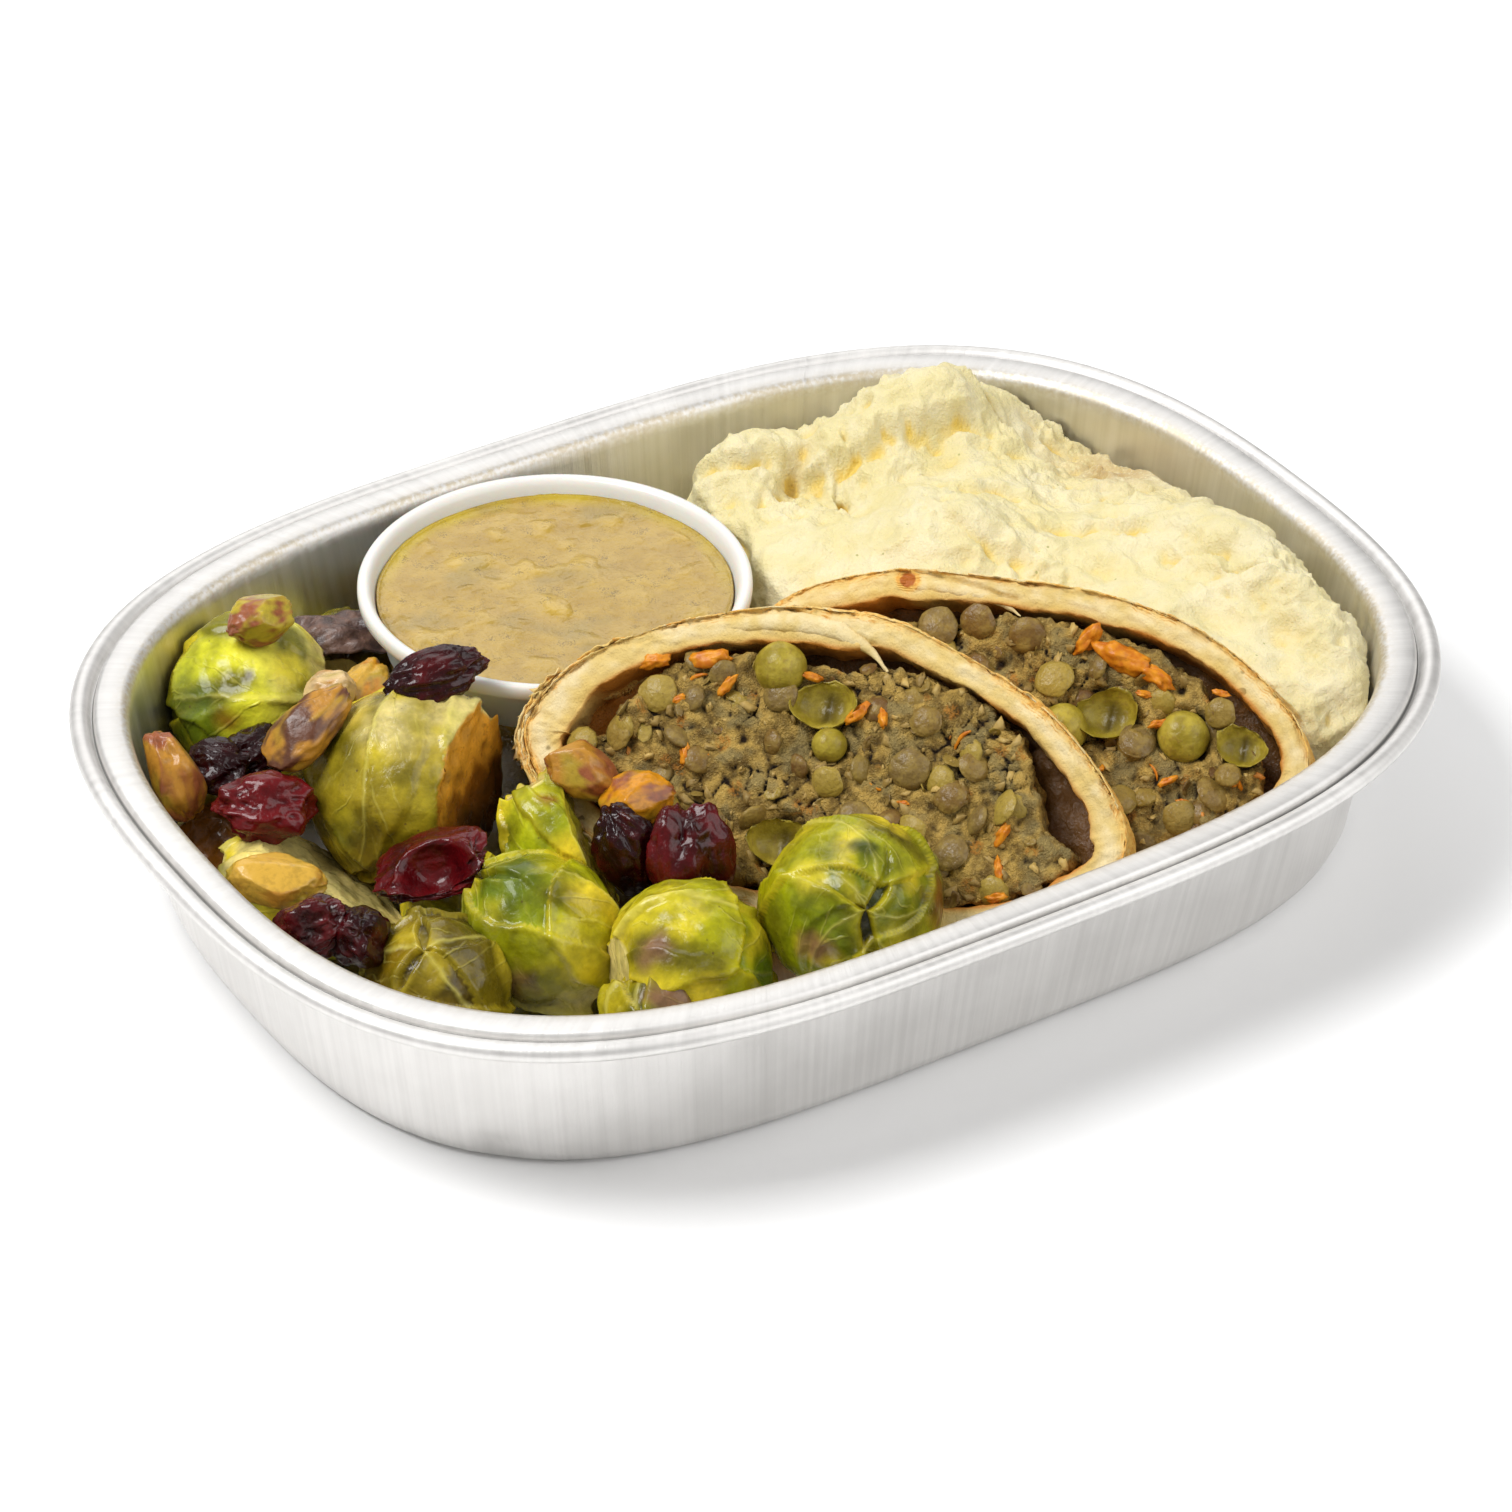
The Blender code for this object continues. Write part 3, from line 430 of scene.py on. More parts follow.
def make_gravy():
    count, rings = 200, 60
    turn = np.linspace(0, 2 * math.pi, count, endpoint=False)
    shares = np.linspace(1, 0, rings, endpoint=False) ** 0.8
    reach = 28.0
    section = [(reach - 3.5, 3.0), (reach, GRAVY_LEVEL - 0.4)] + [(reach * s, GRAVY_LEVEL) for s in shares]
    points = np.array([(r * math.cos(a), r * math.sin(a), z) for r, z in section for a in turn])
    points = points + (*CUP_CENTRE, 0)
    top = np.arange(len(points)) >= 2 * count
    share = np.hypot(*(points[:, :2] - CUP_CENTRE).T) / reach
    spread = points + np.stack([wavy(points, 3, 12), wavy(points, 3, 13), points[:, 2] * 0], axis=1) * 1.6
    lump = clamped(wavy(spread, 5.0, 3) * 1.9 - 0.15) * (share < 0.93)
    lump = lump * np.clip(0.8 + wavy(points, 16, 14), 0.2, 1)
    fine = clamped(wavy(spread, 1.9, 8) * 2.2 - 0.4) * clamped(0.5 + 1.6 * wavy(points, 11, 15))
    climb = 0.55 * np.exp(-((1 - share) / 0.025))
    points[:, 2] += top * (0.50 * lump + 0.26 * fine + 0.40 * wavy(points, 9, 6) + climb)
    points = np.vstack([points, [(*CUP_CENTRE, 3.0), (*CUP_CENTRE, GRAVY_LEVEL)]])
    last = len(points) - 1
    faces = grid_faces(rings + 2, count).tolist()
    faces += fan(last - 1, 0, count, back=True) + fan(last, (rings + 1) * count, count)
    gravy_finish = finish(
        "herb_gravy", herb_gravy, Coat_Weight=0.45, Coat_Roughness=0.06, Specular_IOR_Level=0.3,
    )
    gravy = piece("gravy_poured", points, faces, gravy_finish, "gravy", "gravy")
    away = (points[:, :2] - CUP_CENTRE) @ np.array((0.53, 0.85)) / reach
    far_edge = clamped((np.append(share, (0, 0)) - 0.90) / 0.06) * clamped((away + 0.1) / 0.5)
    oil = far_edge * clamped(0.75 + wavy(points, 4, 2))
    mark(gravy, lump=np.append(lump * 0.8, (0, 0)), oil=oil)


make_gravy()

# The mashed potato. Two spoonfuls are pushed up against the far wall: buttery, smooth where the spoon went
# over it and grainy where it broke, with shade painted a deeper yellow down in its creases.


def solid_copy(node, voxel):
    """The node's form as an even, closed mesh: its points, faces and normals in millimetres."""
    mesh = bmesh.new()
    mesh.from_mesh(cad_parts[node].data)
    bmesh.ops.remove_doubles(mesh, verts=mesh.verts, dist=1e-6)
    data = bpy.data.meshes.new("form")
    mesh.to_mesh(data)
    mesh.free()
    form = bpy.data.objects.new("form", data)
    scene.collection.objects.link(form)
    even = form.modifiers.new("even", "REMESH")
    even.mode = "VOXEL"
    even.voxel_size = voxel * MM
    made = bpy.data.meshes.new_from_object(form.evaluated_get(bpy.context.evaluated_depsgraph_get()))
    bpy.data.objects.remove(form)
    points = np.empty(len(made.vertices) * 3, np.float32)
    made.vertices.foreach_get("co", points)
    normals = np.empty(len(made.vertices) * 3, np.float32)
    made.vertices.foreach_get("normal", normals)
    corners = np.empty(len(made.polygons) * 4, np.int32)
    made.polygons.foreach_get("vertices", corners)
    return points.reshape(-1, 3) / MM, corners.reshape(-1, 4), normals.reshape(-1, 3)


def smoothed(points, faces, times, share=0.5):
    """Each point drawn towards the mean of its neighbours, so that the form's facets melt away."""
    ends = np.vstack([faces[:, [i, (i + 1) % 4]] for i in range(4)])
    count = np.bincount(ends.ravel(), minlength=len(points))[:, None]
    for _ in range(times):
        total = np.stack(
            [
                np.bincount(ends[:, 0], points[ends[:, 1], i], len(points))
                + np.bincount(ends[:, 1], points[ends[:, 0], i], len(points))
                for i in range(3)
            ],
            axis=1,
        )
        drawn = points + (total / np.maximum(count, 1) - points) * share
        points = np.where(count > 0, drawn, points)
    return points


def hollows(points, faces, normals, times, depth):
    """How far each point lies down in a dip, for painted shade: 0 on crests, 1 where it is depth millimetres
    deep.
    """
    level = smoothed(points, faces, times, 0.7)
    return clamped(((level - points) * normals).sum(axis=1) / depth)


def buttery_mash(wire):
    deep = wire.marked("hollow")
    cloud = wire.grain(8, detail=4)
    fine = wire.grain(1.1, detail=4, roughness=0.65)
    grit = wire.grain(0.45, detail=2)
    cream = cloud.rise(0.35, 0.7).mix((0.715, 0.625, 0.32), (0.755, 0.680, 0.43))
    # Painted shade: hollows and creases take a deeper yellow.
    cream = deep.rise(0.05, 0.95).mix(cream, (0.78, 0.57, 0.12))
    brown = wire.marked("brown")
    cream = (brown * fine.rise(0.3, 0.55)).mix(cream, (0.46, 0.30, 0.11))
    flecks = wire.cells(3.4).rise(0.09, 0.05) * wire.grain(9).rise(0.55, 0.6)
    cream = (flecks * 0.7).mix(cream, (0.30, 0.30, 0.08))
    return cream, cloud * 0.2 + 0.42, wire.bump(fine * 0.6 + grit * 0.4, 0.55)


MASH_LEDGES = (
    # Middle of a ledge, the way it drops, its half length, its step and how far back it fades.
    ((52, 41), (-0.25, -0.97), 15, 3.4, 12),
    ((31, 50), (-0.5, -0.85), 10, 2.2, 9),
    ((40, 40), (0.9, -0.45), 8, 1.6, 7),
    ((66, 4), (-0.75, -0.66), 16, 1.5, 10),
    ((79, -27), (0.85, 0.5), 17, 2.2, 9),
    ((70, 41), (0.95, 0.3), 9, 3.0, 10),
    ((83, 10), (-0.2, 0.98), 9, 1.6, 9),
    ((58, 22), (-0.6, -0.8), 10, 1.5, 8),
    ((48, 6), (-0.9, -0.4), 12, 1.3, 9),
)


def bell(values, width, power=2):
    """1 where the values are 0, fading smoothly to 0 past the width."""
    return np.exp(-((values / width) ** power))


def ledges(points):
    """How far the spoon's ledges lift the mash: each rises behind a torn lip and fades away behind it."""
    spots = points * (1, 1, 0.5)
    torn = 2.4 * wavy(spots, 6.5, 21) + 1.1 * wavy(spots, 2.4, 22)
    rise = np.zeros(len(points))
    for middle, drop, half, step, fade in MASH_LEDGES:
        drop = np.array(drop) / np.linalg.norm(drop)
        apart = points[:, :2] - middle
        behind = -(apart @ drop) + torn
        beside = apart @ np.array((-drop[1], drop[0]))
        lip = clamped((behind + 0.5) / 0.9) * np.exp(-np.clip(behind, 0, None) / fade)
        groove = -0.45 * bell(behind + 1.3, 0.9)
        rise += step * (lip + groove) * bell(beside, half, 4)
    return rise


def make_mash():
    points, faces, normals = solid_copy("mashed_potato", 0.52)
    points = smoothed(points, faces, 13)
    upward = clamped(normals[:, 2] * 1.6)
    points[:, 2] += (ledges(points) - 0.8) * upward
    swell = 1.3 * wavy(points, 12, 1) + 1.3 * (0.30 - np.abs(wavy(points, 6.0, 2))) * 1.6
    broken = np.clip(0.45 + 1.5 * wavy(points, 15, 9), 0.12, 1)
    lumps = 1.6 * (0.26 - np.abs(wavy(points, 3.4, 3))) + 1.1 * (0.2 - np.abs(wavy(points, 1.8, 5)))
    lumps = lumps * broken + (0.16 + 0.2 * broken) * wavy(points, 1.1, 4)
    points = points + normals * ((swell + lumps) * clamped(normals[:, 2] + 0.7))[:, None]
    thin = near(points, (82, 33, 29), (9, 10, 9))
    along_gap = (points[:, :2] - (35.5, 46.5)) @ np.array(((0.80, -0.6), (0.60, 0.8)))
    gap = near(along_gap, 0, (6.0, 1.7))
    sunk = thin * (3.4 + 3.2 * wavy(points, 3.4, 31)) + gap * 2.8
    points[:, 2] -= sunk * clamped(normals[:, 2] + 0.4)
    points = kept_in_tray(points)
    mash_finish = finish(
        "buttery_mash", buttery_mash, Subsurface_Weight=0.15, Subsurface_Scale=0.0015,
        Subsurface_Radius=(1.0, 0.75, 0.3), Specular_IOR_Level=0.35,
    )
    mash = piece("mashed_potato_heap", points, faces, mash_finish, "mashed_potato", "mashed_potato")
    brown = clamped(near(points, (84, 25, 27), (7, 11, 8)) * 0.9 + gap * 0.45)
    # Crease depth sets where the yellow shade is painted.
    mark(mash, hollow=hollows(points, faces, normals, 30, 1.4), brown=brown)


make_mash()

# The pastry. A sheet is wrapped round the filling, baked and sliced: cream and faintly layered where it was
# cut, golden and flaking outside, with a torn tail where the sheet's two ends lap over the filling.

SLICE_FOOT = np.array([-24.0, -30.6, 12.1])
SLICE_HEADING = math.radians(42)
SLICE_LEAN = math.radians(46)
ACROSS = np.array([math.sin(SLICE_HEADING), -math.cos(SLICE_HEADING), 0.0])
LEVEL_BACK = np.array([math.cos(SLICE_HEADING), math.sin(SLICE_HEADING), 0.0])
UP_FACE = LEVEL_BACK * math.sin(SLICE_LEAN) + np.array([0, 0, math.cos(SLICE_LEAN)])
INTO_SLICE = LEVEL_BACK * math.cos(SLICE_LEAN) - np.array([0, 0, math.sin(SLICE_LEAN)])
SLICE_THICKNESS = 14.4
SLICE_SPACING = 15.6
FRONT_CRUST = (
    (-37.6, 24.0, 6.5), (-34.0, 15.8, 4.6), (-24.0, 8.0, 4.0), (-10.0, 2.0, 4.0), (8.0, 0.2, 4.0),
    (26.0, 1.2, 4.0), (42.0, 5.4, 4.0), (52.8, 12.0, 4.6), (56.3, 20.0, 5.0), (51.2, 29.4, 4.4),
    (38.9, 39.6, 4.4), (21.0, 46.8, 4.3), (15.0, 48.4, 4.3), (9.0, 49.0, 6.4), (-4.5, 47.3, 5.4),
    (-20.0, 41.8, 4.6), (-32.0, 34.0, 5.6),
)
BACK_CRUST = (
    (-15.0, 38.0, 5.2), (-10.5, 29.0, 4.6), (2.0, 20.0, 4.0), (18.0, 15.6, 4.0), (36.0, 14.6, 4.0),
    (54.0, 17.0, 4.0), (69.0, 23.5, 4.2), (77.4, 31.0, 4.6), (78.6, 40.6, 4.8), (72.0, 49.6, 4.2),
    (58.0, 57.8, 4.2), (40.8, 60.9, 4.4), (24.1, 60.6, 4.4), (15.7, 60.2, 4.8), (5.8, 58.2, 4.6),
    (-6.0, 51.9, 4.6),
)


def on_slice(across, up, depth):
    """Points by their place on the front slice's cut face and their depth behind it."""
    across, up, depth = (np.asarray(value, float)[..., None] for value in (across, up, depth))
    return SLICE_FOOT + ACROSS * across + UP_FACE * up + INTO_SLICE * depth


def smooth_loop(points, count):
    """A closed curve through the points, evenly spaced. Any third column is carried along."""
    points = np.asarray(points, float)
    before, after, beyond = (np.roll(points, shift, axis=0) for shift in (1, -1, -2))
    bends = []
    for t in np.linspace(0, 1, 24, endpoint=False):
        straight = 2 * points + (after - before) * t
        bends.append(
            0.5 * (straight + (2 * before - 5 * points + 4 * after - beyond) * t**2)
            + 0.5 * (3 * points - before - 3 * after + beyond) * t**3
        )
    curve = np.stack(bends, axis=1).reshape(-1, points.shape[1])
    curve = np.vstack([curve, curve[:1]])
    along = np.concatenate([[0], np.cumsum(np.hypot(*np.diff(curve[:, :2], axis=0).T))])
    wanted = np.linspace(0, along[-1], count, endpoint=False)
    return np.stack([np.interp(wanted, along, curve[:, i]) for i in range(curve.shape[1])], axis=1)


def inward(loop):
    """Unit vectors into an anticlockwise or clockwise loop."""
    ahead = np.roll(loop, -1, axis=0) - np.roll(loop, 1, axis=0)
    side = np.stack([-ahead[:, 1], ahead[:, 0]], axis=1)
    side /= np.linalg.norm(side, axis=1)[:, None]
    facing = np.sign(((loop.mean(axis=0) - loop) * side).sum())
    return side * facing


def clear_of_cup(points):
    """Moves points that stand inside the cup's wall or lip outwards to just touch it."""
    away = points[:, :2] - CUP_CENTRE
    distance = np.linalg.norm(away, axis=1)
    height = np.clip(points[:, 2] - CUP_FOOT, 0, 27.8)
    radius = np.where(points[:, 2] > CUP_FOOT + 27.6, 31.15, 22.6 + height * 0.235)
    radius = np.where(points[:, 2] > CUP_FOOT + 30.8, 0, radius)
    grow = np.where(distance < radius, radius / np.maximum(distance, 1e-6), 1.0)
    moved = points.copy()
    moved[:, :2] = CUP_CENTRE + away * grow[:, None]
    return moved


def flaky_pastry(wire):
    bake = wire.marked("bake")
    cloud = wire.grain(5, detail=4)
    fine = wire.grain(0.9, detail=4, roughness=0.65)
    layers = wire.marked("layer")
    warped = layers * 9 + wire.grain(3.5) * 5
    lines = wire.maths("SINE", warped * 6.28) * 0.5 + 0.5
    cream = cloud.rise(0.35, 0.65).mix((0.68, 0.505, 0.180), (0.79, 0.660, 0.380))
    cream = (lines * 0.10).mix(cream, (0.62, 0.40, 0.12))
    cream = (layers.rise(0.5, 0.95) * 0.8).mix(cream, (0.66, 0.46, 0.125))
    toast = (bake * 1.3 + (fine - 0.5) * 0.7 + (cloud - 0.5) * 0.8).rise(0.05, 1.0)
    colour = toast.mix(cream, (0.80, 0.50, 0.120))
    colour = (toast.rise(0.65, 1.0) * fine.rise(0.42, 0.62)).mix(colour, (0.72, 0.36, 0.065))
    crisp = toast.rise(0.15, 0.5) * lines.rise(0.62, 0.95) * wire.grain(2.4, detail=2).rise(0.45, 0.58)
    colour = (crisp * 0.85).mix(colour, (0.64, 0.30, 0.050))
    herbs = wire.cells(5.0).rise(0.15, 0.11) * cloud.rise(0.45, 0.5)
    colour = (herbs * 0.7).mix(colour, (0.20, 0.13, 0.03))
    deep_toast = toast.rise(0.86, 1.0) * wire.grain(2.2, detail=3).rise(0.60, 0.70)
    colour = deep_toast.mix(colour, (0.60, 0.26, 0.045))
    colour = bake.rise(1.1, 1.5).mix(colour, (0.42, 0.12, 0.015))
    # Wet pastry is stained orange-brown. Where the mark passes 1, the cavity lining is painted dark as shade.
    wet_and_shade = wire.marked("moist")
    stain = (wet_and_shade - 1.0 + (cloud - 0.5) * 0.8).rise(0.15, 0.6).mix((0.54, 0.21, 0.030), (0.13, 0.060, 0.016))
    colour = wet_and_shade.rise(0.0, 0.95).mix(colour, stain)
    rough = 0.72 - toast * 0.2 - wet_and_shade.rise(0, 1) * 0.3
    relief = fine * 0.55 + lines * toast * 0.25 + wire.grain(0.35, detail=3) * 0.35
    return colour, rough, wire.bump(relief, 0.42)


pastry_finish = finish("flaky_pastry", flaky_pastry, Specular_IOR_Level=0.3)


def terraces(along, depth, seed):
    """Flakes of pastry as flat steps of random height, from 0 to 1."""
    spots = np.c_[along / 6.5 + seed, depth / 3.4, np.full(len(along), seed)]
    spots[:, 0] += 0.5 * wavy(spots, 0.9, seed)
    spots[:, 1] += 0.5 * wavy(spots, 0.7, seed + 3)
    steps = []
    for spot in spots.tolist():
        distances, centres = noise.voronoi(spot)
        edge = min((distances[1] - distances[0]) * 5, 1)
        steps.append((0.5 + 0.5 * noise.noise(centres[0] * 3.7)) * edge)
    return np.array(steps)


def lap_line(spots, lap):
    """1 along the line where the pastry's two ends lie on each other, and 0 away from it."""
    start, end = np.array(lap, float)
    share = clamped(((spots - start) @ (end - start)) / ((end - start) @ (end - start)))
    apart = np.linalg.norm(spots - start - share[:, None] * (end - start), axis=1)
    return bell(apart, 0.38)


def joined(parts):
    """Several lots of points and faces as one."""
    faces, start = [], 0
    for points, its_faces in parts:
        faces += [[int(corner) + start for corner in face] for face in its_faces]
        start += len(points)
    return np.vstack([points for points, _ in parts]), faces


def make_pastry(name, crust, face_depth, seed, tail, lap, node):
    count = 430
    loop = smooth_loop(crust, count)
    into = inward(loop[:, :2])
    along = np.arange(count) * np.hypot(*(loop[1, :2] - loop[0, :2]))
    cut = SLICE_THICKNESS
    nought = along * 0

    def drift(size, shift):
        return wavy(np.c_[along, nought, nought], size, seed + shift)

    section = [(0.0, d) for d in np.linspace(0.25, cut - 0.4, 26)]
    section += [(t, cut) for t in (0.12, 0.35, 0.65, 0.9)]
    section += [(1.0, d) for d in np.linspace(cut - 0.4, 0.3, 15)]
    section += [(t, 0.0) for t in np.linspace(0.94, 0.06, 13)]
    rows, bake, layer, moist = [], [], [], []
    for through, depth in section:
        spots = np.c_[loop[:, :2], np.full(count, depth)]
        thickness = loop[:, 2] * (1 + 0.14 * drift(7, 4))
        inset = through * thickness
        at_depth = np.full(count, depth)
        if through == 0.0:
            flake = terraces(along, at_depth, seed)
            soft = min(depth, cut - depth, 1.2) / 1.2
            inset = 0.25 - 0.75 * flake - 0.35 * wavy(spots, 9, seed)
            inset = inset - 0.2 * wavy(spots, 1.2, seed + 1) + 0.35 * (1 - soft)
            at_depth = at_depth - 0.5 * clamped(wavy(np.c_[along, along, along], 1.8, seed + 6)) * (depth < 1.5)
        elif depth == 0.0:
            ridge = wavy(np.c_[along * 0.22, np.full((count, 2), through * 6.0)], 1.0, seed + 2)
            torn = wavy(np.c_[along, np.full(count, through * 5), nought], 1.3, seed + 5)
            open_part = clamped(1.6 * drift(16, 9) + 0.25)
            split = bell(ridge, 0.07) * open_part * clamped(1.25 - through * 1.5)
            at_depth = -0.12 * ridge - 0.34 * torn - 0.3 * wavy(spots, 4, seed + 15)
            at_depth = at_depth + 0.3 * abs(through - 0.5) + 0.8 * split
            leaves = 0.5 + 0.5 * wavy(np.c_[along * 0.5, through * loop[:, 2] * 2.6, nought], 1.0, seed + 12)
            at_depth += 0.7 * clamped(leaves) * bell(through * loop[:, 2], 1.3)
            at_depth = at_depth + 1.1 * lap_line(loop[:, :2] + into * inset[:, None], lap)
        elif through == 1.0:
            inset = inset + 0.45 * wavy(spots, 3.2, seed + 7) + 0.2 * wavy(spots, 1.1, seed + 8)
        across, up = (loop[:, :2] + into * inset[:, None]).T
        rows.append(on_slice(across, up, face_depth + at_depth))
        golden = 0.85 + 1.3 * clamped(drift(13, 14) + 0.3)
        outside = 0.85 * bell(through * loop[:, 2], golden, 1.5)
        if through == 0.0:
            outside = min(0.68 + 0.16 * depth, 1)
        bake.append(clamped(outside * (0.80 + 0.5 * wavy(spots, 12, seed))) * np.ones(count))
        layer.append(np.full(count, through))
        inside = 1.0 if through == 1.0 else np.exp(-(1 - through) * loop[:, 2] / 0.5) * (depth == 0)
        moist.append(clamped(inside * (0.75 + 0.8 * wavy(spots, 10, seed + 3))) * np.ones(count))
    points = np.vstack(rows)
    faces = grid_faces(len(section), count, close_rows=True)
    extra_points, extra_faces, extra_bake = loose_flakes(loop, into, along, face_depth, seed)
    tail_points, tail_faces = torn_tail(tail, face_depth, seed)
    lining_points, lining_faces, lined = stained_and_shaded_lining(loop, into, face_depth, seed)
    parts = [(points, faces), (extra_points, extra_faces)]
    parts += [(tail_points, tail_faces), (lining_points, lining_faces)]
    everything, all_faces = joined(parts)
    everything = clear_of_cup(kept_in_tray(everything))
    pastry = piece(name, everything, all_faces, pastry_finish, "pastry", node)
    none = np.zeros(len(tail_points))
    brown = 1.7 * bell(np.linalg.norm(everything - SCORCH, axis=1), 1.7, 4)
    mark(
        pastry,
        bake=np.concatenate([*bake, extra_bake, none + 0.05, lined * 0.3]) + brown,
        layer=np.concatenate([*layer, extra_bake * 0 + 0.2, none + 0.5, lined * 0 + 1]),
        moist=np.concatenate([*moist, extra_bake * 0, none, lined]),
    )
    mesh = bmesh.new()
    mesh.from_mesh(pastry.data)
    bmesh.ops.recalc_face_normals(mesh, faces=mesh.faces)
    mesh.to_mesh(pastry.data)
    mesh.free()


FLAKY_END = 0.03
SCORCH = np.array([23.6, -4.9, 41.2])


def loose_flakes(loop, into, along, face_depth, seed):
    """Thin torn sheets that lift from the crust's outside, more of them at its left end."""
    chance = np.random.default_rng(seed)
    sheets, bake, faces, start = [], [], [], 0
    columns, layers = 14, 5
    for number in range(230):
        middle = chance.uniform(0, 1) if number % 4 else chance.normal(FLAKY_END, 0.035) % 1
        reach = chance.uniform(1.2, 4.0)
        depth, width = chance.uniform(0.2, 11.5), chance.uniform(1.4, 3.8)
        if number % 2 == 0:
            depth, width = chance.uniform(-0.5, 0.5), chance.uniform(0.9, 2.4)
        lift = chance.uniform(0.02, 0.34)
        if number % 4 == 0:
            lift, reach, width = chance.uniform(0.3, 2.2), chance.uniform(2.5, 6.5), chance.uniform(2, 4)
        for side in (0.0, 0.2):
            for row in np.linspace(0, 1, layers):
                for column in np.linspace(-1, 1, columns):
                    index = (middle * along[-1] + column * reach) / along[1]
                    low = int(math.floor(index)) % len(loop)
                    place = loop[low, :2] + (loop[(low + 1) % len(loop), :2] - loop[low, :2]) * (index % 1)
                    rag = 1 + 0.7 * noise.noise((column * 3 + number, row * 2, seed))
                    curl = 0.45 + 0.75 * (0.5 + 0.5 * column * (-1) ** number) ** 3 * (0.4 + row * 0.6)
                    peel = lift * curl - 0.30 * (number % 4 != 0)
                    ruffle = (0.18 + 0.4 * (number % 4 == 0)) * noise.noise((column * 2.5, row * 2, number))
                    spot = place - into[low] * (peel + side - 0.1 + ruffle)
                    edge = depth + (row - 0.5) * width * rag * math.sqrt(max(1 - column**2, 0.04)) + width / 2
                    sheets.append(on_slice(*spot, face_depth + edge))
                    bake.append(0.60 + 0.7 * noise.noise((number * 1.7, column, row)) - 0.22 * (number % 2 == 0))
        sheet = grid_faces(layers, columns, close_columns=False)
        top = sheet + layers * columns
        rim = np.array(
            [i for i in range(columns)]
            + [r * columns + columns - 1 for r in range(1, layers)]
            + [(layers - 1) * columns + i for i in range(columns - 2, -1, -1)]
            + [r * columns for r in range(layers - 2, 0, -1)]
        )
        after = np.roll(rim, -1)
        wall = np.stack([rim, after, after + layers * columns, rim + layers * columns], axis=1)
        faces.append(np.vstack([sheet[:, ::-1], top, wall]) + start)
        start += 2 * layers * columns
    return np.array(sheets).reshape(-1, 3), np.vstack(faces), clamped(bake)


def stained_and_shaded_lining(loop, into, face_depth, seed):
    """A wet pastry layer across the slice, orange-brown where the filling shrank away, with shade painted on its
    right.
    """
    edge = (loop[:, :2] + into * (loop[:, 2] - 0.6)[:, None])[::2]
    middle = edge.mean(axis=0)
    rows, moist = [], []
    front = [(share, 8.0 + 2.2 * (1 - share)) for share in (1.0, 0.96, 0.92, 0.88, 0.84, 0.80, 0.75, 0.7, 0.5)]
    for share, depth in front + [(0.02, 9.5), (0.02, 12.0), (0.7, 12.0), (1.0, 12.0)]:
        ring = middle + (edge - middle) * share
        spots = np.c_[ring, np.full(len(ring), depth)]
        dip = 2.2 * wavy(spots, 5, seed) + 1.8 * wavy(spots, 2.2, seed + 2)
        dipped = dip * (depth < 11.9 and 0.5 < share < 1)
        rows.append(on_slice(ring[:, 0], ring[:, 1], face_depth + depth + dipped))
        # Towards the right the mark rises past 1, where the lining is painted dark as shade in the cavity.
        moist.append(1.05 + 0.6 * clamped((ring[:, 0] + 19 - 2.0 * seed) / 8))
    return np.vstack(rows), grid_faces(len(rows), len(edge), close_rows=True), np.hstack(moist)


def torn_tail(path, face_depth, seed):
    """The pastry sheet's inner end, which thins to a torn point below the outer lap."""
    path = np.array(path, float)
    steps = np.linspace(0, len(path) - 1, 40)
    across, up, half = (np.interp(steps, np.arange(len(path)), path[:, i]) for i in range(3))
    ahead = np.gradient(np.stack([across, up], axis=1), axis=0)
    side = np.stack([-ahead[:, 1], ahead[:, 0]], axis=1) / np.linalg.norm(ahead, axis=1)[:, None]
    rows = []
    for angle in np.linspace(0, 2 * math.pi, 16, endpoint=False):
        push = np.sign(math.cos(angle)) * abs(math.cos(angle)) ** 0.6 * half
        push = push + 0.25 * wavy(np.c_[across, up, across * 0 + angle], 1.6, seed)
        depth = 0.9 - 1.5 * math.sin(angle) * np.clip(half / 1.5, 0.15, 1)
        spot = np.stack([across, up], axis=1) + side * push[:, None]
        rows.append(on_slice(spot[:, 0], spot[:, 1], face_depth + depth))
    points = np.stack(rows, axis=1).reshape(-1, 3)
    faces = grid_faces(40, 16)
    return points, faces


FRONT_TAIL = (
    (-13.0, 42.6, 0.1), (-9.0, 43.7, 0.9), (-4.0, 44.9, 1.5), (2.0, 45.7, 1.7), (7.0, 45.3, 1.5),
    (10.5, 44.2, 1.1), (13.0, 42.8, 0.6), (15.6, 40.4, 0.1),
)
FRONT_LAP = ((-3.0, 48.2), (13.0, 44.0))
BACK_TAIL = (
    (8.0, 56.6, 0.1), (12.0, 57.3, 0.8), (18.0, 57.8, 1.2), (24.0, 57.6, 0.9), (28.0, 56.8, 0.5),
    (31.0, 55.4, 0.1),
)
BACK_LAP = ((14.0, 60.0), (30.0, 57.6))
make_pastry("pastry_front_baked", FRONT_CRUST, 0.0, 3, FRONT_TAIL, FRONT_LAP, "pastry_front")
make_pastry("pastry_back_baked", BACK_CRUST, SLICE_SPACING, 11, BACK_TAIL, BACK_LAP, "pastry_back")

# The lentil filling. A moist, crumbly paste holds whole green lentils, peas and split pea skins, and shreds
# of carrot. It has shrunk from the crust in places, and its cut face is rough.

OLIVE_LENTIL = (0.21, 0.165, 0.075)


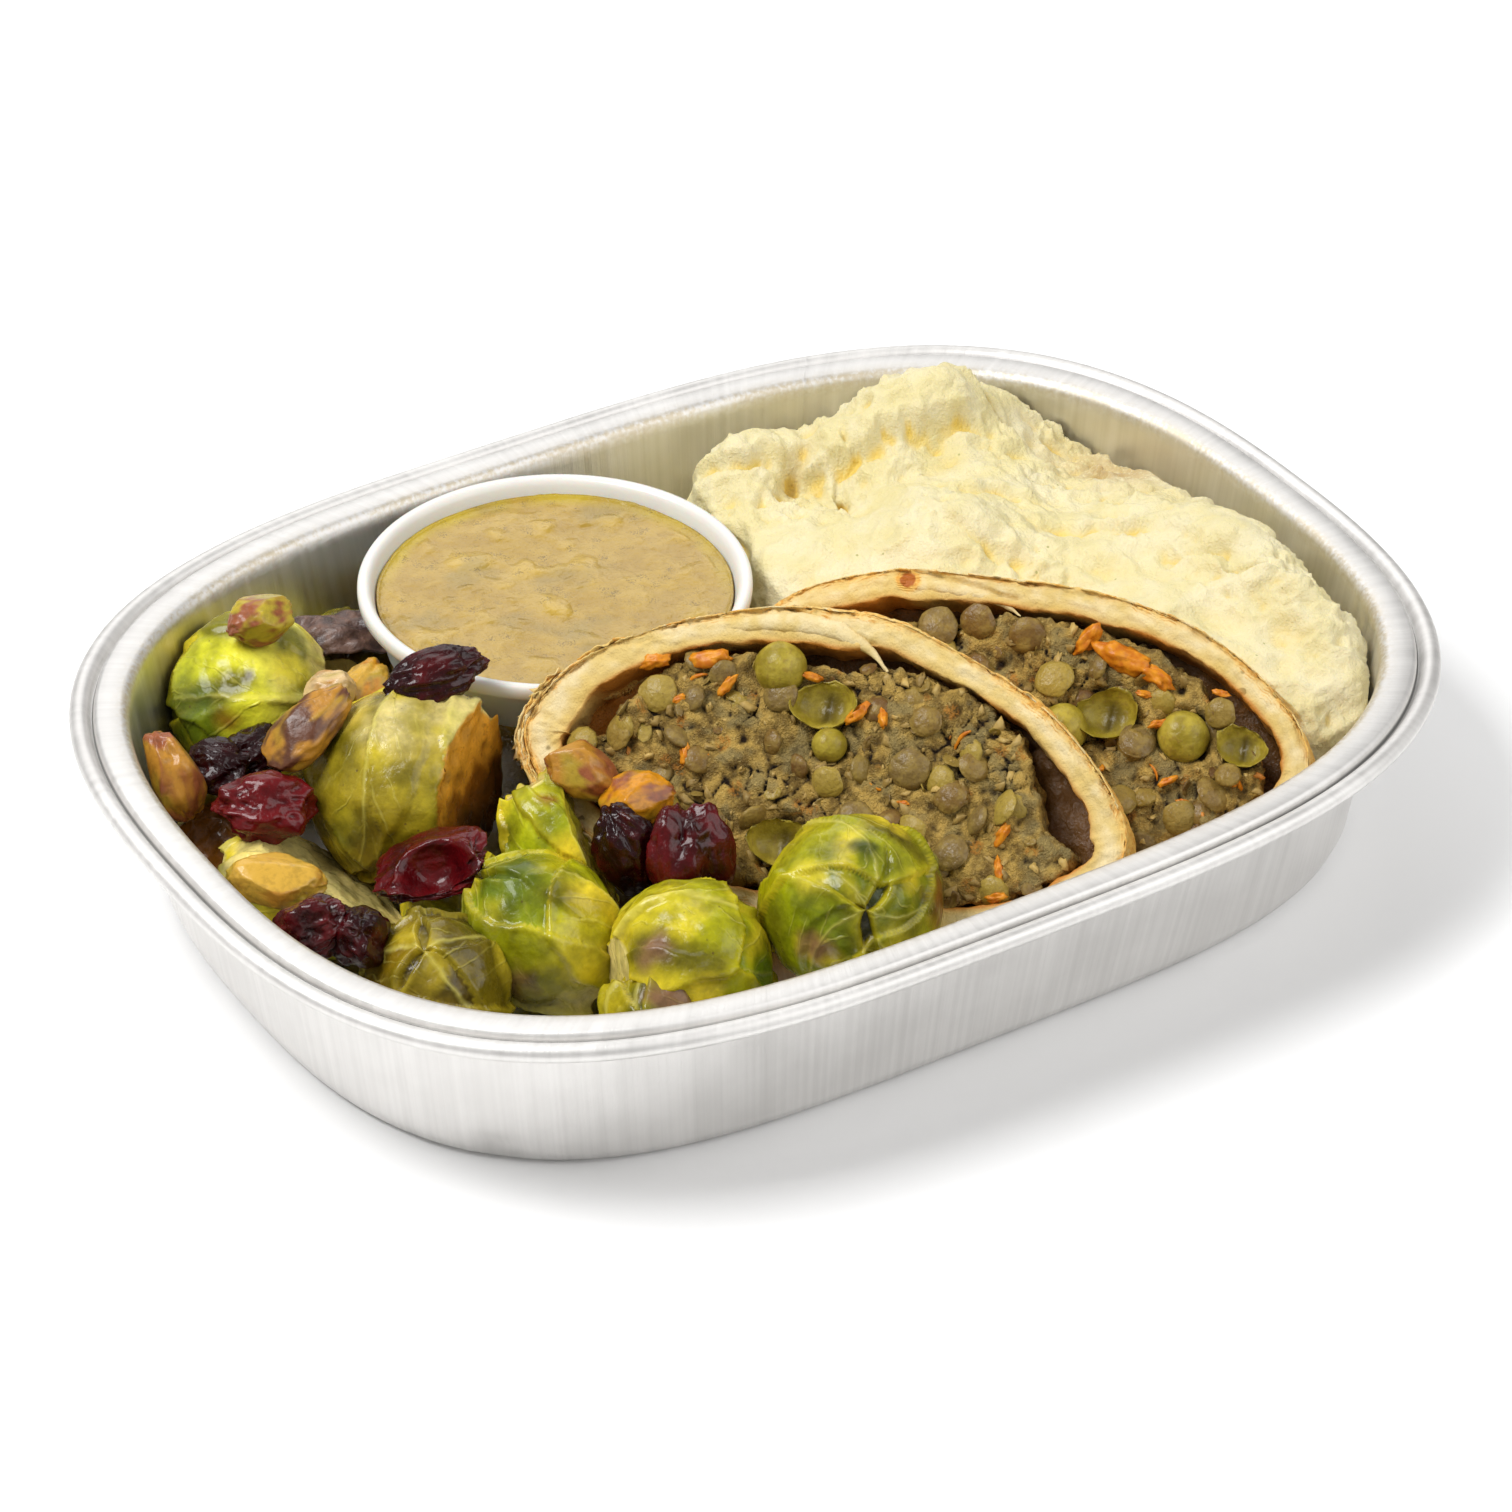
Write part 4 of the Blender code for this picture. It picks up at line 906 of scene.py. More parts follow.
def lentil_paste(wire):
    deep = wire.marked("hollow")
    cloud = wire.grain(3.2, detail=5, roughness=0.6)
    fine = wire.grain(0.7, detail=4, roughness=0.7)
    hue = wire.grain(6, detail=2)
    paste = cloud.rise(0.36, 0.62).mix((0.195, 0.118, 0.026), (0.60, 0.390, 0.094))
    paste = (hue.rise(0.5, 0.62) * 0.7).mix(paste, (0.30, 0.235, 0.095))
    # Painted highlights: pale flecks over the fine grain.
    paste = (fine.rise(0.55, 0.70) * 0.7).mix(paste, (0.68, 0.49, 0.16))
    # Painted shade: the crevices are painted almost black.
    paste = deep.rise(0.0, 0.7).mix(paste, (0.022, 0.010, 0.003))
    orange = wire.cells(5.2).rise(0.30, 0.16) * fine.rise(0.42, 0.56)
    paste = (orange * 0.75).mix(paste, (0.56, 0.23, 0.03))
    relief = cloud * 0.6 + fine * 0.7 + wire.grain(0.35, detail=3) * 0.45
    return paste, fine * 0.35 + 0.32, wire.bump(relief, 1.0)


def lentil_skin(wire):
    kind = wire.marked("kind")
    cloud = wire.grain(1.6, detail=3)
    skin = kind.rise(0.0, 1.0).mix((0.140, 0.070, 0.020), (0.36, 0.255, 0.045))
    skin = (kind.rise(0.55, 0.6) - kind.rise(0.78, 0.82)).mix(skin, (0.185, 0.120, 0.036))
    skin = (cloud.rise(0.38, 0.72) * 0.55).mix(skin, (0.36, 0.250, 0.058))
    skin = (wire.grain(0.5).rise(0.5, 0.8) * 0.4).mix(skin, (0.07, 0.035, 0.012))
    return skin, cloud * 0.2 + 0.2, wire.bump(wire.grain(0.9, detail=4), 0.32)


def crumb_finish(wire):
    kind = wire.marked("kind")
    cloud = wire.grain(0.8, detail=3)
    crumb = kind.mix((0.24, 0.150, 0.038), (0.56, 0.380, 0.110))
    crumb = kind.rise(0.94, 0.95).mix(crumb, (0.62, 0.24, 0.04))
    crumb = (cloud.rise(0.5, 0.7) * 0.4).mix(crumb, (0.44, 0.33, 0.14))
    return crumb, cloud * 0.3 + 0.35, wire.bump(cloud, 0.2)


def carrot_finish(wire):
    cloud = wire.grain(1.5, detail=4)
    rough = cloud * 0.25 + 0.25
    return cloud.rise(0.3, 0.7).mix((0.50, 0.135, 0.006), (0.70, 0.27, 0.012)), rough, wire.bump(cloud, 0.2)


def pea_finish(wire):
    cloud = wire.grain(2.6, detail=4)
    fine = wire.grain(0.8, detail=3)
    skin = cloud.rise(0.35, 0.65).mix((0.26, 0.195, 0.014), (0.42, 0.325, 0.038))
    skin = (fine.rise(0.5, 0.7) * 0.5).mix(skin, (0.25, 0.16, 0.03))
    # Painted shade: the inside of an open skin is painted almost black.
    skin = (wire.marked("inside") * 0.9).mix(skin, (0.045, 0.030, 0.003))
    return skin, cloud * 0.2 + 0.3, wire.bump(cloud * 0.6 + fine * 0.4, 0.45)


def ball(columns, rows):
    """Points of a unit ball with its poles on Z, its faces, and each point's angles from +Z and round it."""
    polar = np.concatenate([[0.0], np.repeat(np.linspace(0, math.pi, rows + 2)[1:-1], columns), [math.pi]])
    turn = np.concatenate([[0.0], np.tile(np.linspace(0, 2 * math.pi, columns, endpoint=False), rows), [0.0]])
    points = np.stack([np.sin(polar) * np.cos(turn), np.sin(polar) * np.sin(turn), np.cos(polar)], axis=1)
    faces = (grid_faces(rows, columns) + 1)[:, ::-1].tolist() + fan(0, 1, columns)
    faces += fan(len(points) - 1, 1 + (rows - 1) * columns, columns, back=True)
    return points, faces, polar, turn


def bit(name, points, faces):
    """A small shape that Geometry Nodes copies, which isn't in the scene itself."""
    mesh = bpy.data.meshes.new(name)
    mesh.from_pydata((np.asarray(points) * MM).tolist(), [], faces)
    mesh.shade_smooth()
    return bpy.data.objects.new(name, mesh)


def make_scatter():
    """A tree that lays random copies of a small shape over the marked part of a surface."""
    tree = bpy.data.node_groups.new("scattered_bits", "GeometryNodeTree")
    inputs = (
        ("Bed", "NodeSocketGeometry"), ("Bit", "NodeSocketObject"), ("Spacing", "NodeSocketFloat"),
        ("Most", "NodeSocketFloat"), ("Smallest", "NodeSocketFloat"), ("Largest", "NodeSocketFloat"),
        ("Tumble", "NodeSocketFloat"), ("Seed", "NodeSocketInt"), ("Finish", "NodeSocketMaterial"),
    )
    for label, kind in inputs:
        tree.interface.new_socket(label, in_out="INPUT", socket_type=kind)
    tree.interface.new_socket("Bits", in_out="OUTPUT", socket_type="NodeSocketGeometry")
    wire = Wire(tree)
    given = tree.nodes.new("NodeGroupInput")
    field = {label: Wire(tree, given.outputs[label]) for label, _ in inputs}
    where = wire.node("GeometryNodeInputNamedAttribute", {"Name": "bed"}, data_type="FLOAT")
    spread = {"Mesh": field["Bed"], "Distance Min": field["Spacing"], "Density Max": field["Most"]}
    spread.update({"Density Factor": where, "Seed": field["Seed"]})
    dots = wire.node("GeometryNodeDistributePointsOnFaces", spread, distribute_method="POISSON")
    facing = Wire(tree, dots.socket.node.outputs["Rotation"])
    tilt = wire.node("ShaderNodeCombineXYZ", {0: field["Tumble"], 1: field["Tumble"], 2: 3.1416})
    back = wire.node("ShaderNodeVectorMath", {0: tilt, "Scale": -1.0}, operation="SCALE")
    tumble = wire.node(
        "FunctionNodeRandomValue", {0: back, 1: tilt, "Seed": field["Seed"]}, data_type="FLOAT_VECTOR",
    )
    turn = wire.node("FunctionNodeEulerToRotation", {0: tumble})
    turned_bit = wire.node("FunctionNodeRotateRotation", {0: facing, 1: turn}, rotation_space="LOCAL")
    sizes = {2: field["Smallest"], 3: field["Largest"], "Seed": field["Seed"]}
    size = wire.node("FunctionNodeRandomValue", sizes, output=1, data_type="FLOAT")
    shape = wire.node("GeometryNodeObjectInfo", {"Object": field["Bit"]}, output=4)
    copies = {"Points": dots, "Instance": shape, "Rotation": turned_bit, "Scale": size}
    laid = wire.node("GeometryNodeInstanceOnPoints", copies)
    chance = wire.node("FunctionNodeRandomValue", {2: 0.0, 3: 1.0, "Seed": 5}, output=1, data_type="FLOAT")
    kinds = {"Geometry": laid, "Name": "kind", "Value": chance}
    named = wire.node("GeometryNodeStoreNamedAttribute", kinds, data_type="FLOAT", domain="INSTANCE")
    whole = wire.node("GeometryNodeRealizeInstances", {"Geometry": named})
    covered = wire.node("GeometryNodeSetMaterial", {"Geometry": whole, "Material": field["Finish"]})
    out = tree.nodes.new("NodeGroupOutput")
    tree.links.new(covered.socket, out.inputs["Bits"])
    return tree


scatter_tree = make_scatter()


def scattered(name, bed, slot, **values):
    """Runs the scatter over a bed and keeps its result as a plain mesh of its own."""
    holder = bpy.data.objects.new(name, bed.data.copy())
    scene.collection.objects.link(holder)
    spread = holder.modifiers.new("bits", "NODES")
    spread.node_group = scatter_tree
    for item in scatter_tree.interface.items_tree:
        if item.name in values:
            spread[item.identifier] = values[item.name]
    mesh = bpy.data.meshes.new_from_object(holder.evaluated_get(bpy.context.evaluated_depsgraph_get()))
    mesh.name = name
    holder.modifiers.clear()
    holder.data = mesh
    mesh.shade_smooth()
    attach(holder, "root")


lens_points, lens_faces, *_ = ball(10, 5)
lens_height = np.sign(lens_points[:, 2]) * np.abs(lens_points[:, 2]) ** 1.4 * 1.15
lens_shape = np.c_[lens_points[:, :2] * 2.65, lens_height]
lentil = bit("lentil", lens_shape - (0, 0, 0.45), lens_faces)
crumb_points, crumb_faces, *_ = ball(7, 4)
crumb_points = crumb_points * (1 + 1.1 * wavy(crumb_points, 0.7, 2))[:, None]
crumb = bit("crumb", crumb_points * (1.5, 1.0, 0.42), crumb_faces)
husk_points, husk_faces, *_ = ball(8, 4)
husk_bend = 0.5 * husk_points[:, 0] ** 2 + 0.3 * wavy(husk_points, 0.8, 7)
husk = bit("husk", husk_points * (2.2, 1.5, 0.18) + np.c_[husk_bend * 0, husk_bend * 0, husk_bend], husk_faces)
shred_turn = np.linspace(0, 2 * math.pi, 5, endpoint=False)
shred_points, shred_faces = [], grid_faces(6, 5).tolist() + [[4, 3, 2, 1, 0], [25, 26, 27, 28, 29]]
for step in np.linspace(-1, 1, 6):
    for angle in shred_turn:
        thin = 1 - 0.6 * step**2
        bowed = 0.75 * math.cos(angle) * thin + 1.2 * step**2
        shred_points.append((4.0 * step, bowed, 0.45 * math.sin(angle) * thin))
shred = bit("carrot_shred", shred_points, shred_faces)
paste_finish = finish("lentil_paste", lentil_paste, Specular_IOR_Level=0.28)
skin_finish = finish("lentil_skin", lentil_skin, Specular_IOR_Level=0.28)
crumbly_finish = finish("lentil_crumb", crumb_finish, Specular_IOR_Level=0.3)
orange_finish = finish("carrot", carrot_finish, Specular_IOR_Level=0.3)
green_pea_finish = finish("pea_skin", pea_finish, Coat_Weight=0.1, Coat_Roughness=0.12, Specular_IOR_Level=0.25)

# Each row: name, bit, finish, smallest spacing in metres, most to a square metre, sizes, tumble, and seed.
SCATTERS = (
    ("lentils", lentil, skin_finish, 0.0056, 26000.0, 0.80, 1.05, 0.55, 0),
    ("husks", husk, skin_finish, 0.0046, 26000.0, 0.45, 1.0, 0.9, 5),
    ("crumbs", crumb, crumbly_finish, 0.0020, 110000.0, 0.25, 0.92, 0.55, 1),
    ("carrot", shred, orange_finish, 0.010, 4000.0, 0.25, 0.6, 0.5, 2),
)


def make_peas(places, seed):
    """Whole peas and half skins, as (across, up, depth, radius, open) rows on the slices."""
    parts, inside = [], []
    for number, (across, up, depth, radius, gape) in enumerate(places):
        points, faces, _, turn = ball(28, 18)
        points = points * (1 + 0.05 * wavy(points, 0.8, seed + number))[:, None]
        shape = points * radius
        if gape:
            cupped = np.where(points[:, 2] > 0.0, -0.72 * points[:, 2], points[:, 2])
            rim = clamped(1 - np.abs(points[:, 2]) * 2)
            wave = (0.22 * np.sin(2 * turn + number) + 0.3 * wavy(points, 0.35, number)) * rim
            fold = 0.15 * bell(points[:, 0] - 0.2, 0.16) * (points[:, 2] > 0.3)
            spread = points[:, :2] * radius * (1, 0.84) * (1 + wave[:, None] * 0.5)
            shape = np.c_[spread, (cupped + wave + fold) * radius]
        # The cupped inside of an open skin, where shade is painted.
        bowl = clamped(3.2 - 4 * np.hypot(points[:, 0], points[:, 1])) * (points[:, 2] > 0) * bool(gape)
        inside.append(bowl * (0.4 + 0.6 * bell(points[:, 0] - 0.1, 0.2)))
        looks = -INTO_SLICE + 0.4 * np.array(
            [noise.noise((number * 3.3, seed, 1)), noise.noise((seed, number * 2.7, 2)), 0.3]
        )
        turned_to = Vector(looks).to_track_quat("Z", "Y").to_matrix()
        parts.append((shape @ np.array(turned_to).T + on_slice(across, up, depth), faces))
    return *joined(parts), np.concatenate(inside)


BIT_GRID = (24, 14)


def make_bits(places, seed, kind):
    """Lentils or pieces of carrot pressed into the cut face, as (across, up, depth, half length, turn) rows."""
    parts = []
    for number, (across, up, depth, half, turn) in enumerate(places):
        points, faces, *_ = ball(*BIT_GRID)
        if kind == "lentil":
            rim = 1 - 0.05 * bell(np.abs(points[:, 2]) - 0.28, 0.1)
            flattened = np.sign(points[:, 2]) * np.abs(points[:, 2]) ** 1.5 * 0.34
            shape = np.c_[points[:, :2] * rim[:, None], flattened] * half
            shape = shape * (1 + 0.13 * wavy(points, 0.6, seed + number))[:, None]
        else:
            rag = 1 + 0.55 * wavy(points, 0.6, seed + number) + 0.12 * wavy(points, 0.2, seed + number)
            shape = points * (1, 0.42, 0.36) * half * rag[:, None]
        leaning = Matrix.Rotation(1.3 * noise.noise((number * 2.3, seed, 4)), 3, "X")
        leaning = leaning @ Matrix.Rotation(1.3 * noise.noise((number * 2.9, seed, 9)), 3, "Y")
        spin = np.array(leaning @ Matrix.Rotation(math.radians(turn), 3, "Z"))
        shape = shape @ spin.T
        parts.append((on_slice(across + shape[:, 0], up + shape[:, 1], depth - shape[:, 2]), faces))
    return joined(parts)


def make_filling(which, node, face_depth, seed, peas, lentils, carrots):
    points, faces, normals = solid_copy(node, 0.46)
    points = smoothed(points, faces, 5)
    for across, up, depth, radius, gape in peas:
        apart = points - SLICE_FOOT
        beside = np.hypot(apart @ ACROSS - across, apart @ UP_FACE - up) / radius
        floor_depth = depth + radius * (0.85 if gape else 0.45)
        missing = np.clip(floor_depth - apart @ INTO_SLICE, 0, None) * clamped(2.6 - 2.1 * beside)
        points = points + INTO_SLICE * (missing * (apart @ INTO_SLICE < depth + radius))[:, None]
    lumps = 0.9 * wavy(points, 6.0, seed) + 0.9 * wavy(points, 2.8, seed + 1)
    crevice = np.empty(len(points))
    for index, point in enumerate((points / 2.7).tolist()):
        distances = noise.voronoi(point)[0]
        crevice[index] = distances[1] - distances[0]
    rough = lumps - 1.1 * np.exp(-crevice / 0.10) * clamped(0.25 + 1.8 * wavy(points, 7, seed + 6))
    rough += 0.55 * wavy(points, 1.3, seed + 2) + 0.25 * wavy(points, 0.7, seed + 3)
    points = points + normals * (rough - 0.1)[:, None]
    points = kept_in_tray(points)
    paste = piece(f"filling_{which}_paste", points, faces, paste_finish, "lentil_filling", node)
    bed = clamped((normals @ -INTO_SLICE - 0.25) * 3)
    # Crevice depth sets where the paste's shade is painted.
    mark(paste, hollow=hollows(points, faces, normals, 18, 0.85), bed=bed)
    label = f"filling_{which}"
    for kind, shape, material, spacing, most, smallest, largest, tumble, shift in SCATTERS:
        scattered(
            f"{label}_{kind}", paste, "lentil_filling", Bit=shape, Spacing=spacing, Most=most,
            Smallest=smallest, Largest=largest, Tumble=tumble, Seed=seed + shift, Finish=material,
        )
    pea_points, pea_faces, inside = make_peas(peas, seed)
    green = piece(f"{label}_peas", pea_points, pea_faces, green_pea_finish, "lentil_filling")
    mark(green, inside=inside)
    placed = piece(f"{label}_large_lentils", *make_bits(lentils, seed, "lentil"), skin_finish, "lentil_filling")
    kinds = np.random.default_rng(seed).uniform(0.2, 1, len(lentils))
    mark(placed, kind=np.repeat(kinds, BIT_GRID[0] * BIT_GRID[1] + 2))
    piece(f"{label}_carrots", *make_bits(carrots, seed, "carrot"), orange_finish, "lentil_filling")


FRONT_PEAS = (
    (-0.6, 38.4, 0.6, 4.0, False), (7.2, 33.9, -0.6, 4.7, True), (4.9, 12.0, -0.6, 4.6, True),
    (9.0, 28.0, 1.2, 2.7, False),
)
BACK_PEAS = (
    (47.0, 42.3, 14.8, 4.7, True), (40.8, 39.2, 16.4, 3.8, False), (59.0, 41.0, 17.2, 4.0, False),
    (68.2, 40.6, 15.0, 3.8, True),
)
FRONT_LENTILS = (
    (-18.3, 31.5, 0.2, 3.0, 20), (0.4, 34.2, -0.2, 2.7, 100), (21.9, 26.2, 0.2, 3.1, 40),
    (28.8, 23.1, 0.1, 2.6, 130), (30.5, 14.7, 0.0, 2.9, 75), (37.1, 22.8, 0.2, 2.8, 10),
    (-22.9, 24.6, -0.2, 2.9, 60), (-9.9, 22.4, 0.3, 2.3, 15), (10.0, 22.2, 0.2, 2.6, 80),
    (15.4, 17.4, 0.1, 2.8, 35), (22.9, 33.8, 0.3, 2.5, 120), (-6.6, 13.0, 0.1, 2.8, 50),
    (-14.0, 14.5, 0.2, 2.6, 95), (31.5, 28.2, 0.4, 2.4, 150), (24.0, 16.8, 0.1, 2.7, 5),
    (-8.8, 35.8, 0.4, 2.4, 70),
)
BACK_LENTILS = (
    (18.8, 51.5, 15.6, 3.2, 30), (24.8, 53.2, 15.4, 2.8, 110), (32.7, 52.4, 15.9, 2.9, 60),
    (38.0, 46.4, 15.7, 3.0, 10), (52.4, 39.0, 15.8, 2.9, 140), (65.4, 32.9, 15.9, 3.0, 80),
    (60.9, 28.4, 15.8, 2.7, 45), (27.0, 45.0, 15.8, 2.5, 95), (51.5, 29.6, 15.7, 2.6, 20),
    (64.0, 45.2, 16.0, 2.4, 65), (43.6, 33.0, 15.8, 2.5, 120),
)
FRONT_CARROTS = (
    (-20.0, 36.2, 0.6, 2.6, 20), (-11.5, 37.9, 0.3, 3.2, 12), (-8.0, 34.2, -0.1, 1.8, 60),
    (-12.3, 22.9, 0.0, 1.7, 100), (12.5, 33.2, -0.1, 2.2, 50), (16.3, 33.4, 0.1, 2.0, 110),
    (37.6, 18.7, 0.2, 1.9, 60), (38.2, 13.6, 0.3, 1.7, 110), (38.6, 9.4, 0.3, 1.8, 20),
    (27.6, 11.6, -0.2, 1.7, 30), (9.9, 15.4, 0.2, 1.1, 0), (-15.0, 31.0, 0.2, 1.3, 40),
    (22.0, 21.0, 0.2, 0.9, 0), (4.5, 37.8, 0.4, 1.6, 5),
)
BACK_CARROTS = (
    (48.0, 51.2, 15.2, 4.4, -16), (53.4, 49.0, 15.2, 3.0, -24), (42.1, 53.4, 15.4, 2.8, 60),
    (55.0, 42.0, 15.5, 1.4, 20), (63.6, 48.2, 15.7, 1.3, 0), (48.0, 34.0, 15.6, 1.0, 60),
    (58.0, 33.6, 15.7, 1.5, 30), (68.0, 35.6, 15.8, 1.2, 90), (52.0, 46.2, 15.6, 1.2, 0),
    (61.0, 30.8, 15.7, 1.0, 0),
)
make_filling("front", "filling_front", 0.0, 21, FRONT_PEAS, FRONT_LENTILS, FRONT_CARROTS)
make_filling("back", "filling_back", SLICE_SPACING, 43, BACK_PEAS, BACK_LENTILS, BACK_CARROTS)

# The roast sprouts. Leaves lap round each one from its cut stem, with pale ribs that fan out and fork. They
# are oiled and glossy, yellow-green to deep green, and browned where they lay on the hot pan.

CREAM = np.array((0.84, 0.69, 0.24))
PALE = np.array((0.66, 0.56, 0.035))
LIME = np.array((0.34, 0.36, 0.003))
LEAF = np.array((0.105, 0.155, 0.002))
DEEP = np.array((0.045, 0.060, 0.001))
OLIVE = np.array((0.20, 0.135, 0.002))
ROAST = np.array((0.23, 0.080, 0.006))
CHAR = np.array((0.060, 0.025, 0.006))
PLUM = np.array((0.24, 0.120, 0.060))


def blend(first, second, share):
    share = clamped(np.asarray(share, float))[:, None]
    return first * (1 - share) + second * share


def sprout_leaf(wire):
    ground = wire.marked("paint", output=0)
    flat_leaf = wire.node("ShaderNodeUVMap", uv_map="leaf")
    split = wire.node("ShaderNodeSeparateXYZ", {0: flat_leaf}).socket.node
    across, along = (Wire(wire.tree, split.outputs[i]) for i in range(2))
    wander = wire.grain(3.4, detail=2) - 0.5
    aside = wire.maths("ABSOLUTE", across + wander * 1.6)
    rib = (along * -0.024 + 1.05)
    midrib = (aside - rib * 0.85).rise(0.45, -0.35)
    phase = (along - aside * 1.5 + wander * 5.0) * 0.15
    ripple = wire.maths("ABSOLUTE", wire.maths("FRACT", phase + 40.0) - 0.5)
    side_vein = ripple.rise(0.40, 0.49) * aside.rise(11, 3) * wire.grain(5, detail=1).rise(0.35, 0.6)
    net_lines = wire.cells(1.7, output=0, feature="DISTANCE_TO_EDGE").rise(0.11, 0.02)
    veins = wire.maths("MAXIMUM", midrib, side_vein * 0.6)
    open_leaf = 1 - wire.marked("cut")
    vein_mask = wire.maths("MAXIMUM", veins, net_lines * 0.05) * open_leaf * (1 - wire.marked("stain") * 0.75)
    mottle = wire.grain(4.5, detail=4)
    fine = wire.grain(1.0, detail=3)
    shade = (mottle * 0.75 + fine * 0.25).rise(0.3, 0.7) * 0.55 + 0.50
    ground = ground.stained(shade)
    colour = (vein_mask * 0.42).mix(ground, (0.68, 0.60, 0.13))
    cut_mark = wire.marked("cut")
    colour = (cut_mark * fine.rise(0.52, 0.75) * 0.5).mix(colour, (0.06, 0.025, 0.006))
    freckles = wire.cells(2.1).rise(0.12, 0.06) * wire.grain(6).rise(0.52, 0.6)
    colour = (freckles * 0.6).mix(colour, (0.07, 0.035, 0.012))
    height = veins * open_leaf * 0.40 + fine * 0.28 + mottle * 0.5
    return colour, mottle * 0.26 + 0.12 + wire.marked("stain") * 0.10, wire.bump(height, 0.48)


sprout_finish = finish(
    "sprout_leaf", sprout_leaf, Coat_Weight=0.22, Coat_Roughness=0.06, Subsurface_Weight=0.06,
    Subsurface_Scale=0.0012, Subsurface_Radius=(0.6, 1.0, 0.2), Specular_IOR_Level=0.2,
)

# Each row: node, centre, half sizes, where the stem points, leaves, twist, ground colours from stem to tip,
# then (place, radius, colour) of each browned or paler patch.
SPROUTS = (
    ("sprout_front_large", (-51.6, -22.4, 14.6), (11.6, 11.0, 13.2), (0.5, -0.6, -0.6), 5, 0.3,
     (PALE, LIME, LEAF),
     (((-60, -28, 13), 4, PLUM), ((-53, -32, 18), 5, PALE), ((-56, -21, 25), 7, LEAF),
      ((-50, -31, 8), 5, CREAM),
      ((-46, -31, 15), 2.5, OLIVE))),
    ("sprout_back_left", (-61.9, 50.4, 17.4), (14.2, 14.2, 13.8), (0.9, -0.4, 0.1), 5, -0.2,
     (CREAM, PALE, LEAF),
     (((-74, 46, 20), 8, LEAF), ((-70.4, 41, 22.4), 2.6, ROAST), ((-50, 44, 25), 6, CREAM),
      ((-65.6, 43, 27.9), 1.5, CHAR), ((-60, 42, 27), 5, PALE))),
    ("sprout_middle_large", (-53.4, 15.6, 19.5), (15.4, 14.8, 16.6), (0.75, 0.25, 0.65), 6, 0.5,
     (CREAM, PALE, OLIVE),
     (((-62, 4, 17), 8, OLIVE), ((-50, 4, 12), 6, OLIVE), ((-57, 13, 33), 6, CREAM * 0.9),
      ((-46, 14, 30), 9, CREAM),
      ((-69, 10, 20), 4, DEEP))),
    ("sprout_front_right", (-13.4, -46.9, 20.0), (13.6, 13.4, 13.8), (0.3, 0.7, -0.5), 5, 0.6,
     (PALE, LIME, LEAF),
     (((-24.6, -54.1, 20.9), 3.5, PLUM), ((-5.0, -56.5, 22), 5, ROAST), ((-12, -59, 20), 6, PALE),
      ((-22.5, -49, 30), 4, PALE), ((-14, -51, 33), 2.6, DEEP))),
    ("sprout_front_middle", (-37.6, -40.4, 14.6), (13.4, 11.8, 12.4), (-0.9, 0.2, 0.1), 5, -0.4,
     (PALE, LIME, LEAF),
     (((-45.5, -43.7, 22.5), 3.4, PLUM), ((-30, -50, 15), 5, LEAF), ((-38, -42, 26), 4, PALE))),
    ("sprout_front_left", (-70.2, -22.8, 12.0), (11.4, 11.0, 11.0), (0.3, 0.2, -0.9), 5, 0.2,
     (LIME, OLIVE, OLIVE),
     (((-76, -28, 16), 5, OLIVE),)),
    ("sprout_half_left", (-73.4, 8.0, 11.6), (12.0, 9.4, 16.6), (-0.8, 0.55, 0.1), 5, 0.1,
     (CREAM, PALE, LIME),
     (((-80, 12, 18), 8, CREAM), ((-64, 2, 8), 5, LIME))),
    ("sprout_half_middle", (-39.4, -7.8, 15.4), (9.0, 9.6, 13.0), (-0.2, 0.6, 0.7), 5, 0.4,
     (PALE, LIME, LIME),
     (((-42.4, -7, 25.8), 2.0, ROAST), ((-40, -2, 28), 1.8, CHAR), ((-35.4, -11, 13), 5, PALE),
      ((-41, -10, 22), 2.5, OLIVE))),
    ("sprout_by_cup", (-42.0, 54.6, 13.6), (9.6, 9.6, 10.6), (-0.5, -0.6, 0.3), 6, 0.3, (OLIVE, OLIVE, LEAF),
     (((-44, 50, 22), 6, CHAR),)),
    ("sprout_low_middle", (-55.6, -3.4, 9.2), (8.6, 8.4, 8.2), (0, 0, -1), 5, 0.3, (LIME, LIME, PALE), ()),
    ("sprout_low_left", (-78.8, 27.0, 9.4), (8.6, 8.6, 8.6), (0, 0, -1), 5, 0.3, (OLIVE, OLIVE, OLIVE),
     (((-80, 24, 16), 7, ROAST),)),
    ("sprout_low_front", (-46.4, -46.0, 10.4), (8.0, 9.0, 9.4), (0, -0.4, -1), 5, 0.2, (LEAF, LEAF, OLIVE),
     (((-46, -50, 18), 5, PLUM),)),
)
USUAL_TINT = (1.28, 1.16, 0.8)
TINTS = {
    "sprout_middle_large": (0.94, 0.88, 0.8), "sprout_half_left": (1.45, 1.36, 0.9),
    "sprout_front_left": (0.85, 0.76, 0.7), "sprout_by_cup": (1, 1, 1),
}
CUT_FACES = {
    "sprout_middle_large": ((0.55, -0.82, 0.12), 10.4, ROAST),
    "sprout_half_left": ((0.58, -0.10, 0.76), 2.0, CREAM),
    "sprout_half_middle": ((0.75, -0.35, 0.35), 3.5, PALE),
    "sprout_low_left": ((-0.2, -0.5, 0.85), 3.0, ROAST),
}


def turned_to(direction):
    """The turn that takes +Z to a direction, as the solids were turned."""
    return np.array(Vector(direction).normalized().to_track_quat("Z", "Y").to_matrix())


